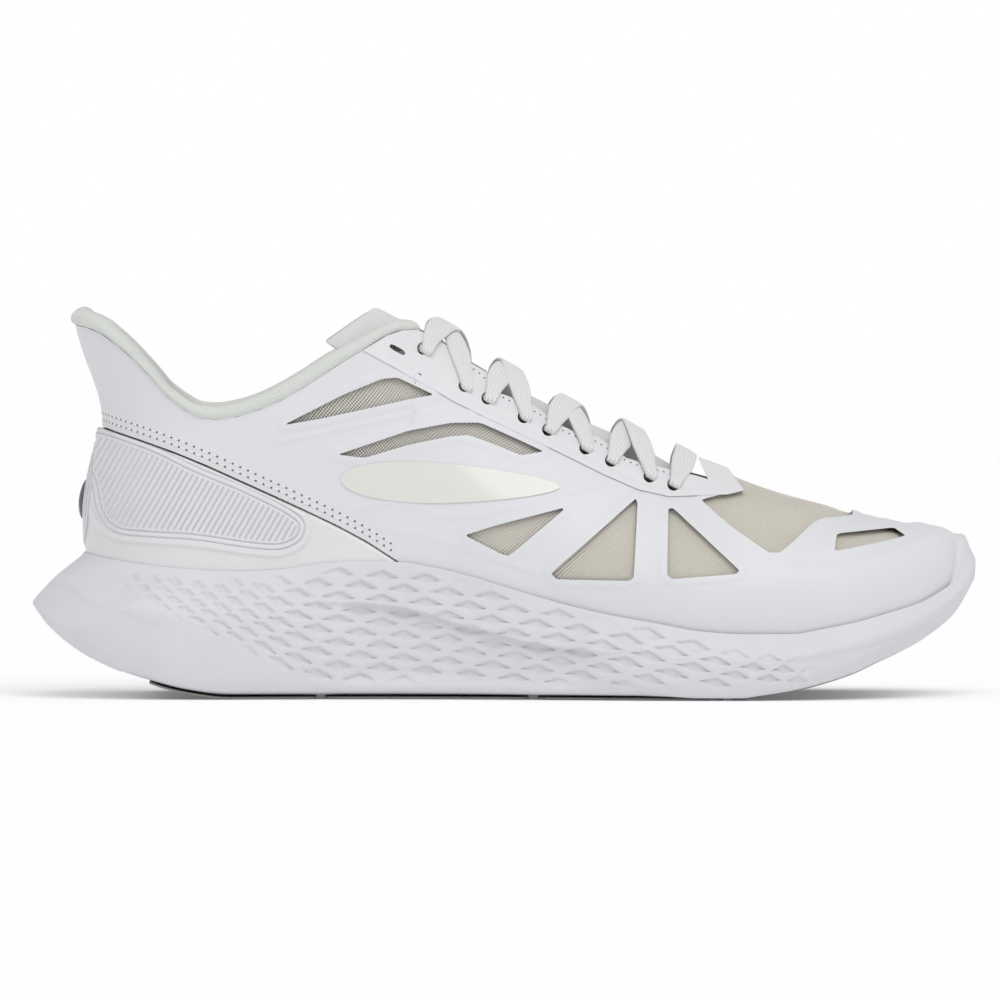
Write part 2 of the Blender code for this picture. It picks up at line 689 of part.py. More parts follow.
# ---------------------------------------------------------------- trim and padding
def patches():
    """A plain glossy leaf on each side, and the small reflective tab on the heel."""
    leaf = []
    for k in range(16):
        turn = 2 * math.pi * k / 16
        along = 36 * math.cos(turn)
        across = 6.2 * math.sin(turn) * (1 - 0.35 * math.cos(turn))
        leaf.append((-17 + along * 0.97 - across * 0.1, 69 - along * 0.03 + across))
    for side in (-1, 1):
        patch = skin_layer("side_patch_" + SIDE[side], *PATCH, GLOSS, 7, 24, (side,))
        boolean(patch, region("keep_patch_" + SIDE[side], leaf, (side,)), "INTERSECT")
    tab = []
    for k in range(13):
        turn = math.pi * (k / 12 - 0.5)
        tab.append((6.5 * math.sin(turn), 4.2 * math.cos(turn)))
    rings = []
    for lift, size in ((1.25, 1.0), (2.3, 0.92), (2.9, 0.6)):
        rings.append([
            (heel_back(63 + u * size) - lift, y * size, 63 + u * size)
            for u, y in tab + [(-u, -y) for u, y in tab[1:-1]]
        ])
    loft("reflective_tab", rings, REFLECTIVE)


ROLL_SECTION = [  # (height over the shell's edge as a share, height in mm, depth in mm)
    (0.0, 1.2, 0.1), (0.45, 0.0, -1.3), (0.85, 0.0, -0.3), (1.0, 0.0, 2.2),
    (0.8, 0.0, 4.8), (0.1, 0.0, 7.0), (0.0, -8.0, 8.6), (0.0, -16.0, 8.0),
    (0.0, -22.0, 5.6), (0.0, -24.0, 4.2), (0.0, -10.0, 4.1), (0.0, 1.2, 4.1),
]
ROLL_DEPTH = curve([(-140, 1.0), (-70, 1.0), (-50, 0.8), (-38, 0.35), (-22, 0.1)])
ROLL_DROP = curve([(-140, 1.0), (-75, 1.0), (-50, 0.5), (-38, 0.25), (-22, 0.12)])


def collar():
    """Padded knit roll round the foot opening, from one stay round the heel to the other."""
    rings = []
    steps = 26
    ends = a_at_x(-1, -31, 117)
    for i in range(-steps, steps + 1):
        side = -1 if i < 0 else 1
        a = ends * abs(i) / steps
        edge = 118.0
        for _ in range(6):
            x = surface_point(side, a, b_at_height(side, a, edge)).x
            edge = topline_z(x)
        ring = []
        for share, height, depth in ROLL_SECTION:
            z = edge + share * roll_height(x)
            z += height * (ROLL_DROP(x) if height < 0 else 1)
            if depth > 4.2:
                depth = 4.2 + (depth - 4.2) * ROLL_DEPTH(x)
            ring.append(collar_point(side, a, z, depth))
        rings.append(ring)
    loft("collar", rings, KNIT)


def collar_point(side, a, z, depth):
    point = offset_point(side, a, b_at_height(side, a, z), depth)
    top = surface_point(side, a, 1.0).z
    if z > top:
        point.z += z - top
    return tuple(point)


TONGUE_PATH = [(62.5, 68.5), (54, 74), (42, 81), (21.4, 90), (5.4, 98), (-8, 105.2),
               (-20, 112.3), (-32, 120), (-42, 125.3)]
TONGUE_HALF = [13, 13.5, 14.5, 15.5, 16, 16.5, 17.5, 19, 20]
TONGUE_DROP = [4.8, 9, 14, 17.5, 19.5, 20.5, 22, 23, 22]
TONGUE_SWEEP = [0, 0, 0, 0, 0, 0, 1, 4, 8]
TONGUE_THICK = [2.6, 3.2, 4, 4.5, 4.5, 4.5, 4.6, 4.8, 4.6]


def tongue():
    """Padded tongue from its seam at the vamp to the curved top edge over the ankle."""
    rings = []
    columns = 8
    stations = 18
    last = len(TONGUE_PATH) - 1
    keys = list(range(last + 1))
    path_x = curve(list(zip(keys, [p[0] for p in TONGUE_PATH])))
    path_z = curve(list(zip(keys, [p[1] for p in TONGUE_PATH])))
    half = curve(list(zip(keys, TONGUE_HALF)))
    drop = curve(list(zip(keys, TONGUE_DROP)))
    sweep = curve(list(zip(keys, TONGUE_SWEEP)))
    thick = curve(list(zip(keys, TONGUE_THICK)))
    for i in range(stations + 1):
        u = last * i / stations
        u0, u1 = max(u - 0.1, 0), min(u + 0.1, last)
        along = Vector((path_x(u1) - path_x(u0), 0, path_z(u1) - path_z(u0))).normalized()
        out = Vector((along.z, 0, -along.x))
        middle = Vector((path_x(u), 0, path_z(u)))
        top = []
        under = []
        for k in range(columns + 1):
            v = 2 * k / columns - 1
            edge = abs(v) ** 1.7
            y = half(u) * v
            face = middle - out * drop(u) * edge + along * sweep(u) * edge + Vector((0, y, 0))
            slope = 1.7 * abs(v) ** 0.7 * drop(u) / half(u) * (1 if v > 0 else -1)
            normal = (out + Vector((0, slope, 0))).normalized()
            body = thick(u) * (1 - 0.55 * v ** 6)
            top.append(tuple(face))
            under.append(tuple(face - normal * body))
        rings.append(top + under[::-1])
    loft("tongue", rings, TONGUE_CLOTH)


# ---------------------------------------------------------------- laces
LACE_WIDE = 6.4
LACE_THICK = 1.2
LACE_ROUND = (2.4, 1.9)
OUT = -1.05
UNDER = 5.9
CROSS = 1.75


def eyelet_point(side, number, depth):
    """A point over (negative depth) or straight in through an eyelet."""
    x, z = EYELETS[number]
    face = on_surface(side, x, z, 0.0)
    if depth < 0:
        return on_surface(side, x, z, depth)
    slope = abs((face - on_surface(side, x, z, 1.0)).y)
    return face - Vector((0, side * depth / max(slope, 0.3), 0))


def strap(first, second, over):
    """Stations of one strap over the throat, from one eyelet to another."""
    (side0, hole0), (side1, hole1) = first, second
    p0 = eyelet_point(side0, hole0, OUT)
    p1 = eyelet_point(side1, hole1, OUT)
    crossing = hole0 != hole1
    stations = []
    count = 8
    for i in range(count + 1):
        s = i / count
        x = p0.x + (p1.x - p0.x) * s
        y = p0.y + (p1.y - p0.y) * s
        lift = over * CROSS * math.sin(math.pi * s) ** 2 if crossing else 0.0
        flat = min(1.0, 4 * min(s, 1 - s))
        wide = LACE_ROUND[0] + (LACE_WIDE - LACE_ROUND[0]) * flat
        thick = LACE_ROUND[1] + (LACE_THICK - LACE_ROUND[1]) * flat
        here = over_throat(x, y, OUT - lift)
        stations.append((here, wide, thick))
    return stations


def hidden(side, hole0, hole1):
    """Stations under the stay from one eyelet to its neighbour."""
    stations = []
    for hole, depths in ((hole0, (1.4, 5.2)), (hole1, (5.2, 1.4))):
        for depth in depths:
            stations.append((eyelet_point(side, hole, depth), *LACE_ROUND))
        if hole == hole0:
            middle = (eyelet_point(side, hole0, UNDER) + eyelet_point(side, hole1, UNDER)) / 2
            stations.append((middle, *LACE_ROUND))
    return stations


LACING = [  # straps in order along the lace: (side, eyelet) to (side, eyelet), over or not
    ((-1, 0), (1, 1), 1), ((1, 2), (-1, 3), 1), ((-1, 4), (1, 5), 1),
    ((1, 6), (-1, 7), 1), ((-1, 8), (1, 8), 0), ((1, 7), (-1, 6), 0),
    ((-1, 5), (1, 4), 0), ((1, 3), (-1, 2), 0), ((-1, 1), (1, 0), 0),
]


def lace_run():
    stations = [(eyelet_point(-1, 0, 3.0), *LACE_ROUND), (eyelet_point(-1, 0, 1.2), *LACE_ROUND)]
    for number, (first, second, over) in enumerate(LACING):
        stations += strap(first, second, over)
        if number + 1 < len(LACING):
            stations += hidden(second[0], second[1], LACING[number + 1][0][1])
    stations += [(eyelet_point(1, 0, 1.2), *LACE_ROUND), (eyelet_point(1, 0, 3.0), *LACE_ROUND)]
    rings = []
    for i, (point, wide, thick) in enumerate(stations):
        before = stations[max(i - 1, 0)][0]
        after = stations[min(i + 1, len(stations) - 1)][0]
        tangent = (after - before).normalized()
        across = Vector((0.87, 0, -0.5))
        across = (across - tangent * across.dot(tangent)).normalized()
        normal = tangent.cross(across)
        rings.append([
            tuple(point + across * wide / 2 * u + normal * thick / 2 * v)
            for u, v in ((-1, -0.6), (1, -0.6), (1, 0.6), (-1, 0.6))
        ])
    loft("lace_run", rings, LACE)


TAIL_RADIUS = 1.3
TAIL_LENGTH = 212.0
AGLET_LENGTH = 22.0


def smooth_path(points, count):
    """Points evenly spread along a smooth curve through a few hand-set ones."""
    keys = list(range(len(points)))
    axes = [curve(list(zip(keys, [p[i] for p in points]))) for i in range(3)]
    fine = [Vector([axis(k * keys[-1] / 400) for axis in axes]) for k in range(401)]
    lengths = [0.0]
    for before, after in zip(fine, fine[1:]):
        lengths.append(lengths[-1] + (after - before).length)
    result = []
    for i in range(count + 1):
        want = lengths[-1] * i / count
        k = max(j for j in range(401) if lengths[j] <= want + 1e-9)
        result.append(fine[min(k, 400)])
    return result, lengths[-1]


def tail_points(side):
    start = eyelet_point(side, 0, 5.6)
    floor = [(x, footbed_z(x) + 6.2 + TAIL_RADIUS + 1.6) for x in (-12, 12, 40, 68, 96, 122)]
    wander = (17, 13, 17, 12, 15, 9)
    points = [start] + [
        on_surface(side, x, z, depth)
        for x, z, depth in ((-27.5, 103, 5.5), (-29, 88, 5.5), (-29.5, 68, 6.0), (-26, 48, 9.0))
    ]
    for (x, z), y in zip(floor, wander):
        points.append(Vector((x, side * y, z)))
    return points


def tails():
    for side in (-1, 1):
        points, length = smooth_path(tail_points(side), 150)
        keep = [p for k, p in enumerate(points) if length * k / 150 <= TAIL_LENGTH - AGLET_LENGTH]
        keep = keep[(len(keep) - 1) % 4::4]
        data = bpy.data.curves.new("lace_tail_" + SIDE[side], "CURVE")
        data.dimensions = "3D"
        data.bevel_depth = TAIL_RADIUS * MM
        data.bevel_resolution = 2
        data.use_fill_caps = True
        spline = data.splines.new("POLY")
        spline.points.add(len(keep) - 1)
        for slot, p in zip(spline.points, keep):
            slot.co = (*(p * MM), 1)
        to_object("lace_tail_" + SIDE[side], data, LACE)
        tip = keep[-1]
        heading = (keep[-1] - keep[-2]).normalized()
        bm = bmesh.new()
        bmesh.ops.create_cone(bm, segments=10, cap_ends=True, radius1=1.6 * MM,
                              radius2=1.3 * MM, depth=AGLET_LENGTH * MM)
        aglet = finish_bmesh("aglet_" + SIDE[side], bm, ("clear_aglet", (0.8, 0.8, 0.8), 0.2))
        aglet.location = (tip + heading * (AGLET_LENGTH / 2 + GAP)) * MM
        aglet.rotation_mode = "QUATERNION"
        aglet.rotation_quaternion = heading.to_track_quat("Z", "Y")
        print(SIDE[side], "tail path", round(length, 1), "mm")


midsole()
tread_pods()
boards()
upper()
patches()
collar()
tongue()
lace_run()
tails()
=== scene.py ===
# %% [markdown]
# # A white running shoe, for the right foot
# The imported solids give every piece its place. This script builds the looks around them.
# The upper is laid up the way a shoemaker does it, in thin layers over one foot shape, so
# the first job is a function that gives any point of that shape.

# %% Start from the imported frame
import math

import bmesh
import bpy
import numpy as np
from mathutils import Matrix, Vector


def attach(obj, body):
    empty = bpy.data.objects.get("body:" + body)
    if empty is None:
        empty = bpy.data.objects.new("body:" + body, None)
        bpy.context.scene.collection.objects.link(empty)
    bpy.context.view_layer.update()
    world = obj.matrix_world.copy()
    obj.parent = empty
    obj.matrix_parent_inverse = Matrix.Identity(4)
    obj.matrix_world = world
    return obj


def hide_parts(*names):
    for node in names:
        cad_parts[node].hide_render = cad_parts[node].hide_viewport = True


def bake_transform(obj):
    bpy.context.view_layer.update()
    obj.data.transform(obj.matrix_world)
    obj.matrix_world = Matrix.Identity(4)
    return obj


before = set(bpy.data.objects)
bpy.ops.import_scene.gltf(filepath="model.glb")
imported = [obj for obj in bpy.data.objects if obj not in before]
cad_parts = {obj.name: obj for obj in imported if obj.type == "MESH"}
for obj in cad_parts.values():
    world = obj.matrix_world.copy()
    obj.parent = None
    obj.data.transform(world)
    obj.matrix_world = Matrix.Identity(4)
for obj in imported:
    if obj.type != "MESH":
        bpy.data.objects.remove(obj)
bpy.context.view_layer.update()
MM = 0.001
LATERAL, MEDIAL = -1, 1
SIDE_NAMES = {LATERAL: "lateral", MEDIAL: "medial"}
print("frame nodes:", len(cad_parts))


# %% [markdown]
# ## Smooth curves through a few measures
# A shoemaker's pattern is a handful of measures with a smooth line drawn through them.
# A cubic through the points does the same, and this one never swings past a measure.


# %% A smooth curve through given points
def curve(points):
    xs, ys = (np.array(row, float) for row in zip(*points))
    steps = np.diff(ys) / np.diff(xs)
    slopes = np.concatenate([steps[:1], np.zeros(len(xs) - 2), steps[-1:]])
    product = steps[:-1] * steps[1:]
    total = np.where(product > 0, steps[:-1] + steps[1:], 1.0)
    slopes[1:-1] = np.where(product > 0, 2 * product / total, 0.0)

    def value(x):
        x = np.clip(np.asarray(x, float), xs[0], xs[-1])
        i = np.clip(np.searchsorted(xs, x, side="right") - 1, 0, len(xs) - 2)
        span = xs[i + 1] - xs[i]
        t = (x - xs[i]) / span
        return (
            ys[i] * (1 + 2 * t) * (1 - t) ** 2
            + ys[i + 1] * t * t * (3 - 2 * t)
            + slopes[i] * span * t * (1 - t) ** 2
            - slopes[i + 1] * span * t * t * (1 - t)
        )

    return value


def running(steps):
    """The distance run at every point, from the lengths of the steps between them."""
    return np.concatenate([[0], np.cumsum(steps)])


def smooth_step(value, low, high):
    t = np.clip((np.asarray(value, float) - low) / (high - low), 0, 1)
    return t * t * (3 - 2 * t)


# %% [markdown]
# ## The measures of the shoe, in millimetres
# Each list is (distance along the shoe, value), heel to toe. The sole's underside, the
# foam's upper edge, the footbed and the ridge over the instep are read from the side; the
# half widths come from common lasts, because the side view doesn't show them.

# %% Measures
HEEL_X, TOE_X, UPPER_TOE_X = -151.2, 151.1, 146.6
sole_z = curve([
    (-151.2, 29.7), (-149.8, 27), (-144.2, 21.4), (-133.8, 13.9), (-120, 7.5),
    (-106, 2.7), (-95.8, 0.8), (-88.7, 0), (0, 0), (75, 0), (82.8, 1), (91.8, 2.5),
    (102.2, 5), (112.6, 8.4), (119.5, 11.6), (130, 16.1), (136.9, 20.2),
    (143.8, 25.4), (148, 30.3), (151.1, 34.5),
])
rim_z = curve([
    (-134.9, 46), (-123.4, 44), (-106, 41.9), (-85.3, 40.8), (-71.4, 41.4),
    (-57.5, 43.4), (-45.8, 44.1), (-33.7, 43.8), (-21.9, 42), (-11, 39.4), (0, 36.1),
    (11.1, 32.8), (22.2, 29.8), (33.2, 27.3), (47.9, 24.7), (63.9, 21.9), (77.9, 21.1),
    (91.8, 21.1), (102.2, 22.7), (112.6, 24.7), (123, 27.5), (133.4, 30.6),
    (139.5, 33.6), (143.5, 36), (145.6, 37.6), (149, 39.5),
])
footbed_z = curve([
    (-135, 34.5), (-110, 32.5), (-90, 31.5), (-60, 31), (-30, 28.5), (0, 24.5),
    (30, 19.5), (60, 15.8), (85, 15), (105, 16.5), (125, 21), (140, 27.5), (147, 31.5),
])
ridge_z = curve([
    (-145, 172), (-100, 170), (-60, 160), (-40, 141), (-30, 128.5), (-20, 118.5),
    (-13, 113.5), (5.4, 101.7), (21.4, 92.7), (42, 84.4), (56, 78.6), (64, 75.6),
    (71, 73), (79.9, 69.3), (88.1, 66.5), (96.2, 64.2), (104.4, 62), (112.6, 59.1),
    (120.8, 56.9), (127.3, 55.4), (135, 54.9), (141, 53.8), (146.6, 50.6),
])
section_power = curve([
    (-145, 2.3), (-60, 2.2), (-40, 2.1), (-20, 1.95), (5, 1.72), (40, 1.52),
    (60, 1.52), (80, 1.7), (110, 2.0), (147, 2.2),
])
widest_z = curve([(-140, 46), (-40, 46), (0, 43), (40, 38), (75, 34), (110, 35), (147, 41)])
upper_lateral = curve([(-140, 34), (-100, 36), (-70, 37), (-40, 38), (0, 43), (40, 49),
                       (75, 51), (100, 50), (147, 50)])
upper_medial = curve([(-140, 33), (-100, 35), (-70, 36), (-40, 36.5), (0, 39), (40, 46),
                      (75, 49), (100, 48), (147, 49)])
sole_lateral = curve([(-150, 46), (-100, 46), (-70, 43.5), (-40, 42), (-10, 44),
                      (20, 49.5), (50, 54), (75, 55), (100, 54), (151, 54)])
sole_medial = curve([(-150, 45), (-100, 44), (-70, 41.5), (-40, 40), (-10, 40.5),
                     (20, 43.5), (50, 50.5), (75, 55), (100, 53.5), (151, 53)])
toe_shift = curve([(-150, 0), (60, 0), (100, 2), (151, 7)])
heel_back = curve([
    (20, -131), (47, -133.2), (60, -133.6), (70, -132.2), (80, -130), (88, -128.8),
    (95, -129.8), (102, -132), (110, -135), (118, -137.2), (130, -139),
])
TOPLINE = [
    (-140, 119.5), (-133.3, 118.2), (-129.1, 116.6), (-123.6, 112.8), (-118, 108),
    (-112.5, 102.4), (-107, 96.2), (-101.4, 92), (-96.5, 89.6), (-91.7, 89.2),
    (-84.7, 90.2), (-77.8, 92.3), (-70.8, 95.4), (-63.9, 99.3), (-58.1, 103.1),
    (-51.2, 107.6), (-44.2, 111.7), (-37.3, 115.9), (-32.4, 117.5), (-27.6, 117.6),
    (-23.5, 116),
]
topline_z = curve(TOPLINE)
PANEL_EDGE = [
    (-145, 91), (-129.1, 86.4), (-116.6, 82.6), (-105.5, 78.8), (-95.1, 74.6),
    (-81.3, 68.4), (-67.4, 62.1), (-54.2, 55.9), (-43.9, 50.4), (-33.7, 43.8),
    (-26, 38), (-14, 28), (-8, 20),
]
panel_edge_z = curve(PANEL_EDGE)
OPEN_INSTEP_X = -14  # behind this the upper stops a little above the topline
ABOVE_TOPLINE = 9
print("outside length", round(TOE_X - HEEL_X, 1), "mm")


# %% [markdown]
# ## One surface for the whole upper
# Every sheet of the upper lies a little inside or outside the same surface. Around the
# shoe, `turn` runs from -1 at the toe, along the lateral side to 0 at the heel, and along
# the medial side back to 1 at the toe. `rise` runs from the feather edge, where the upper
# meets the sole, up to the ridge or past the foot opening.


# %% The outer surface and its normals
LOW_SHARE = 0.2


def eased(share):
    """0 to 1 again, but slow at both ends, so that columns crowd where the shoe turns."""
    return (1 - np.cos(np.pi * share)) / 2


def end_round(distance, length, power):
    s = np.clip(distance / length, 0, 1)
    return (1 - (1 - s) ** power) ** (1 / power)


def feather_z(x):
    return footbed_z(x) + 0.6


def upper_half(turn, x, z):
    """Half width of the upper on the side that turn is on."""
    top, level, power = ridge_z(x), widest_z(x), section_power(x)
    base = np.where(turn < 0, upper_lateral(x), upper_medial(x))
    base = base * end_round(x - heel_back(z), 37, 2.15) * end_round(UPPER_TOE_X - x, 58, 2.1)
    depth = np.clip((level - z) / np.maximum(level - feather_z(x), 1), 0, 2)
    t = np.clip((z - level) / (top - level), 0, 1)
    return base * np.where(z <= level, 1 - 0.1 * depth ** 2, (1 - t ** power) ** (1 / power))


def last_angle(x, level, top, power):
    """How far round its arch the upper goes at x: less where the foot opening stops it."""
    end = (np.minimum(topline_z(x) + ABOVE_TOPLINE, top) - level) / (top - level)
    return np.where(x < OPEN_INSTEP_X, np.arcsin(np.clip(end, 0, 1) ** (power / 2)), np.pi / 2)


def foot_surface(turn, rise):
    """The outer surface's point. Its x and z lean on each other, so a few rounds find both."""
    turn, rise = np.broadcast_arrays(np.asarray(turn, float), np.asarray(rise, float))
    spread = eased(np.abs(turn))
    z = np.full(turn.shape, 60.0)
    for _ in range(5):
        back = heel_back(z)
        x = back + (UPPER_TOE_X - back) * spread
        low, level, top, power = feather_z(x), widest_z(x), ridge_z(x), section_power(x)
        share = np.clip((rise - LOW_SHARE) / (1 - LOW_SHARE), 0, 1)
        angle = last_angle(x, level, top, power) * share
        high = level + (top - level) * np.sin(angle) ** (2 / power)
        z = np.where(rise <= LOW_SHARE, low + (level - low) * rise / LOW_SHARE, high)
    side = np.where(turn < 0, -1, 1)
    return np.stack([x, side * upper_half(turn, x, z) + toe_shift(x), z], -1)


def foot_normal(turn, rise):
    """The outward direction, from how the half width changes along and up the shoe."""
    spot, turn = foot_surface(turn, rise), np.broadcast_arrays(turn, rise)[0]
    x, z, step = spot[..., 0], spot[..., 2], 0.05
    side = np.where(turn < 0, -1.0, 1.0)
    along = (upper_half(turn, x + step, z) - upper_half(turn, x - step, z)) / (2 * step)
    upward = (upper_half(turn, x, z + step) - upper_half(turn, x, z - step)) / (2 * step)
    drift = (toe_shift(x + step) - toe_shift(x - step)) / (2 * step)
    normal = np.stack([-side * drift - along, side, -upward], -1)
    return normal / np.linalg.norm(normal, axis=-1, keepdims=True)


def layer_point(turn, rise, depth):
    """A point depth millimetres inside the outer surface (outside when negative)."""
    return foot_surface(turn, rise) - foot_normal(turn, rise) * np.asarray(depth)[..., None]


def rise_at(turn, z):
    """The rise at which a given turn reaches the height z."""
    turn, z = np.broadcast_arrays(np.asarray(turn, float), np.asarray(z, float))
    back = heel_back(z)
    x = back + (UPPER_TOE_X - back) * eased(np.abs(turn))
    low, level, top, power = feather_z(x), widest_z(x), ridge_z(x), section_power(x)
    up = np.clip((z - level) / (top - level), 0, 1)
    angle = np.arcsin(up ** (power / 2))
    high = LOW_SHARE + (1 - LOW_SHARE) * angle / last_angle(x, level, top, power)
    rise = np.where(z <= level, LOW_SHARE * (z - low) / (level - low), high)
    return np.clip(rise, 0, 1)


def turn_at(side, x, z):
    """The turn at which the surface passes x at the height z."""
    back = heel_back(z)
    share = np.clip((np.asarray(x, float) - back) / (UPPER_TOE_X - back), 0, 1)
    return side * np.maximum(np.arccos(1 - 2 * share) / np.pi, 1e-4)


def find_side(side, x, z):
    """turn and rise of the spot seen at (x, z) from the side."""
    turn = turn_at(side, x, z)
    return turn, rise_at(turn, z)


def on_side(side, x, z, depth):
    turn, rise = find_side(side, x, z)
    return layer_point(turn, rise, np.broadcast_to(depth, turn.shape))


print("surface at mid side:", np.round(foot_surface(-0.5, 0.3), 1))


# %% [markdown]
# ## Materials from short expressions
# Blender's shader nodes are sums done one node at a time. A small class that wraps a socket
# lets each pattern be written as an ordinary formula, which is easier to read and to change.


# %% A socket that does arithmetic, and a material that makes nodes
class Wave:
    """A number that flows through the shader; each sum adds one Math node."""

    def __init__(self, look, socket):
        self.look, self.socket = look, socket

    def _math(self, operation, *values):
        return self.look.node("ShaderNodeMath", {"operation": operation},
                              dict(enumerate(values)))

    def __add__(self, other):
        return self._math("ADD", self, other)

    def __sub__(self, other):
        return self._math("SUBTRACT", self, other)

    def __rsub__(self, other):
        return self._math("SUBTRACT", other, self)

    def __mul__(self, other):
        return self._math("MULTIPLY", self, other)

    def __truediv__(self, other):
        return self._math("DIVIDE", self, other)

    def __pow__(self, other):
        return self._math("POWER", self, other)

    __radd__, __rmul__ = __add__, __mul__

    def sine(self):
        return self._math("SINE", self)

    def wrapped(self):
        """The part after the decimal point."""
        return self._math("FRACT", self)

    def size(self):
        return self._math("ABSOLUTE", self)

    def smaller(self, other):
        return self._math("MINIMUM", self, other)

    def larger(self, other):
        return self._math("MAXIMUM", self, other)

    def above(self, level, soft):
        """0 below level, 1 above it, with a soft edge."""
        return self._math("ADD", (self - level) / soft, 0.5).larger(0.0).smaller(1.0)


class Look:
    """A material with one Principled shader and helpers that add nodes to it."""

    def __init__(self, name, colour, roughness, **constants):
        self.material = bpy.data.materials.new(name)
        self.material.use_nodes = True
        self.tree = self.material.node_tree
        self.shader = self.tree.nodes["Principled BSDF"]
        self.set("Base Color", (*colour, 1))
        self.set("Roughness", roughness)
        for socket, value in constants.items():
            self.set(socket.replace("_", " "), value)

    def set(self, socket, value):
        target = self.shader.inputs[socket]
        if isinstance(value, Wave):
            self.tree.links.new(value.socket, target)
        else:
            target.default_value = value

    def node(self, kind, settings=None, sockets=None, output=0):
        """A node of this kind: its settings first, then its sockets' values or links."""
        made = self.tree.nodes.new(kind)
        for key, value in (settings or {}).items():
            setattr(made, key, value)
        for key, value in (sockets or {}).items():
            if isinstance(value, Wave):
                self.tree.links.new(value.socket, made.inputs[key])
            else:
                made.inputs[key].default_value = value
        return Wave(self, made.outputs[output])

    def place(self):
        """Object coordinates in metres, as one vector."""
        return self.node("ShaderNodeTexCoord", output="Object")

    def axes(self):
        """The sheet's own coordinates, in millimetres, as two numbers."""
        cloth = self.node("ShaderNodeUVMap", {"uv_map": "cloth"})
        return tuple(self.node("ShaderNodeSeparateXYZ", None, {0: cloth}, output=i)
                     for i in (0, 1))

    def noise(self, scale, detail=2.0):
        return self.node("ShaderNodeTexNoise", None,
                         {"Vector": self.place(), "Scale": scale, "Detail": detail})

    def mix(self, factor, first, second):
        """A colour between two; a plain colour is three numbers."""
        first, second = (c if isinstance(c, Wave) else (*c, 1) for c in (first, second))
        return self.node("ShaderNodeMix", {"data_type": "RGBA"},
                         {0: factor, 6: first, 7: second}, output=2)

    def drift(self, scale, dark, light, detail=2.0):
        """Lets the colour wander between two, so that no face is one flat colour."""
        self.set("Base Color", self.mix(self.noise(scale, detail), dark, light))

    def bump(self, height, strength, distance):
        self.set("Normal", self.node("ShaderNodeBump", None, {
            "Strength": strength, "Distance": distance * MM, "Height": height}))


# %% [markdown]
# ## Foam, film and coated cloth
# The sole is moulded foam with a fine pebbled skin. The cage over the mesh is a smooth
# satin film pressed on with heat. The quarter and the lace stays are coated cloth with a
# barely visible grain. All three are a slightly cool white.

# %% Hard and coated finishes
foam = Look("midsole_foam", (0.645, 0.652, 0.685), 0.62)
grain = foam.noise(1500.0, 3.0) * 0.7 + foam.noise(420.0) * 0.5
foam.bump(grain, 0.5, 0.12)
foam.drift(60.0, (0.62, 0.627, 0.66), (0.67, 0.677, 0.71))

film = Look("fused_film", (0.69, 0.697, 0.72), 0.46)
film.bump(film.noise(700.0, 3.0), 0.18, 0.06)
film.drift(45.0, (0.67, 0.677, 0.702), (0.712, 0.719, 0.745))
film.set("Roughness", 0.42 + 0.12 * film.noise(220.0))

coated = Look("coated_cloth", (0.71, 0.71, 0.735), 0.5)
coated.bump(coated.noise(900.0, 4.0) + 0.5 * coated.noise(2600.0), 0.25, 0.07)
coated.drift(70.0, (0.69, 0.69, 0.715), (0.735, 0.735, 0.755))

clip_plastic = Look("clip_plastic", (0.72, 0.715, 0.735), 0.42, Coat_Weight=0.15)
clip_plastic.bump(clip_plastic.noise(500.0), 0.1, 0.05)
# Painted shade: the grooves of the ribs and rings get a darker, purplish colour.
painted_groove_shade = clip_plastic.node("ShaderNodeAttribute", {"attribute_name": "groove"}, output=2)
clip_plastic.set("Base Color", clip_plastic.mix(
    painted_groove_shade, clip_plastic.mix(clip_plastic.noise(40.0), (0.70, 0.69, 0.70), (0.73, 0.72, 0.735)),
    (0.50, 0.46, 0.56)))

gloss = Look("gloss_film", (0.69, 0.715, 0.66), 0.22, Coat_Weight=0.4)
gloss.drift(60.0, (0.675, 0.70, 0.65), (0.71, 0.735, 0.68))
gloss.bump(gloss.noise(300.0), 0.08, 0.04)

tape = Look("reflective_tape", (0.10, 0.10, 0.10), 0.3, Metallic=0.3)
beads = tape.node("ShaderNodeTexVoronoi", None, {"Vector": tape.place(), "Scale": 1500.0})
tape.set("Base Color", tape.mix(beads, (0.16, 0.16, 0.165), (0.08, 0.08, 0.085)))

rubber = Look("outsole_rubber", (0.30, 0.29, 0.285), 0.7)
rubber.bump(rubber.noise(1200.0, 3.0), 0.4, 0.1)
rubber.drift(90.0, (0.26, 0.25, 0.245), (0.35, 0.34, 0.33))

thread = Look("white_thread", (0.83, 0.83, 0.84), 0.6)
thread.bump(thread.noise(4000.0), 0.3, 0.05)
thread.drift(900.0, (0.78, 0.78, 0.79), (0.86, 0.86, 0.87))
# Painted shade: each needle hole is a near-black disc that stands for the shade inside it.
needle_hole_shade = Look("needle_hole_shade", (0.10, 0.09, 0.09), 0.9)
needle_hole_shade.drift(900.0, (0.05, 0.045, 0.045), (0.14, 0.13, 0.13))
aglet_film = Look("aglet_film", (0.82, 0.82, 0.82), 0.18, Coat_Weight=0.5)
aglet_film.drift(500.0, (0.78, 0.78, 0.78), (0.86, 0.86, 0.86))
print("materials so far:", len(bpy.data.materials))


# %% [markdown]
# ## Cloths
# Cloth patterns follow the thread, so they read the sheet's own coordinates, stored in
# millimetres. The sheer mesh is a warp knit with open cells a little under a millimetre
# apart, and its holes are made with alpha. Knit and weave are bumps, and their colour is
# darker in the valleys as painted shade.

# %% Cloth finishes
MESH_PITCH = 0.86
ROW_PITCH = MESH_PITCH * 1.414  # staggered rows this far apart put cells MESH_PITCH apart


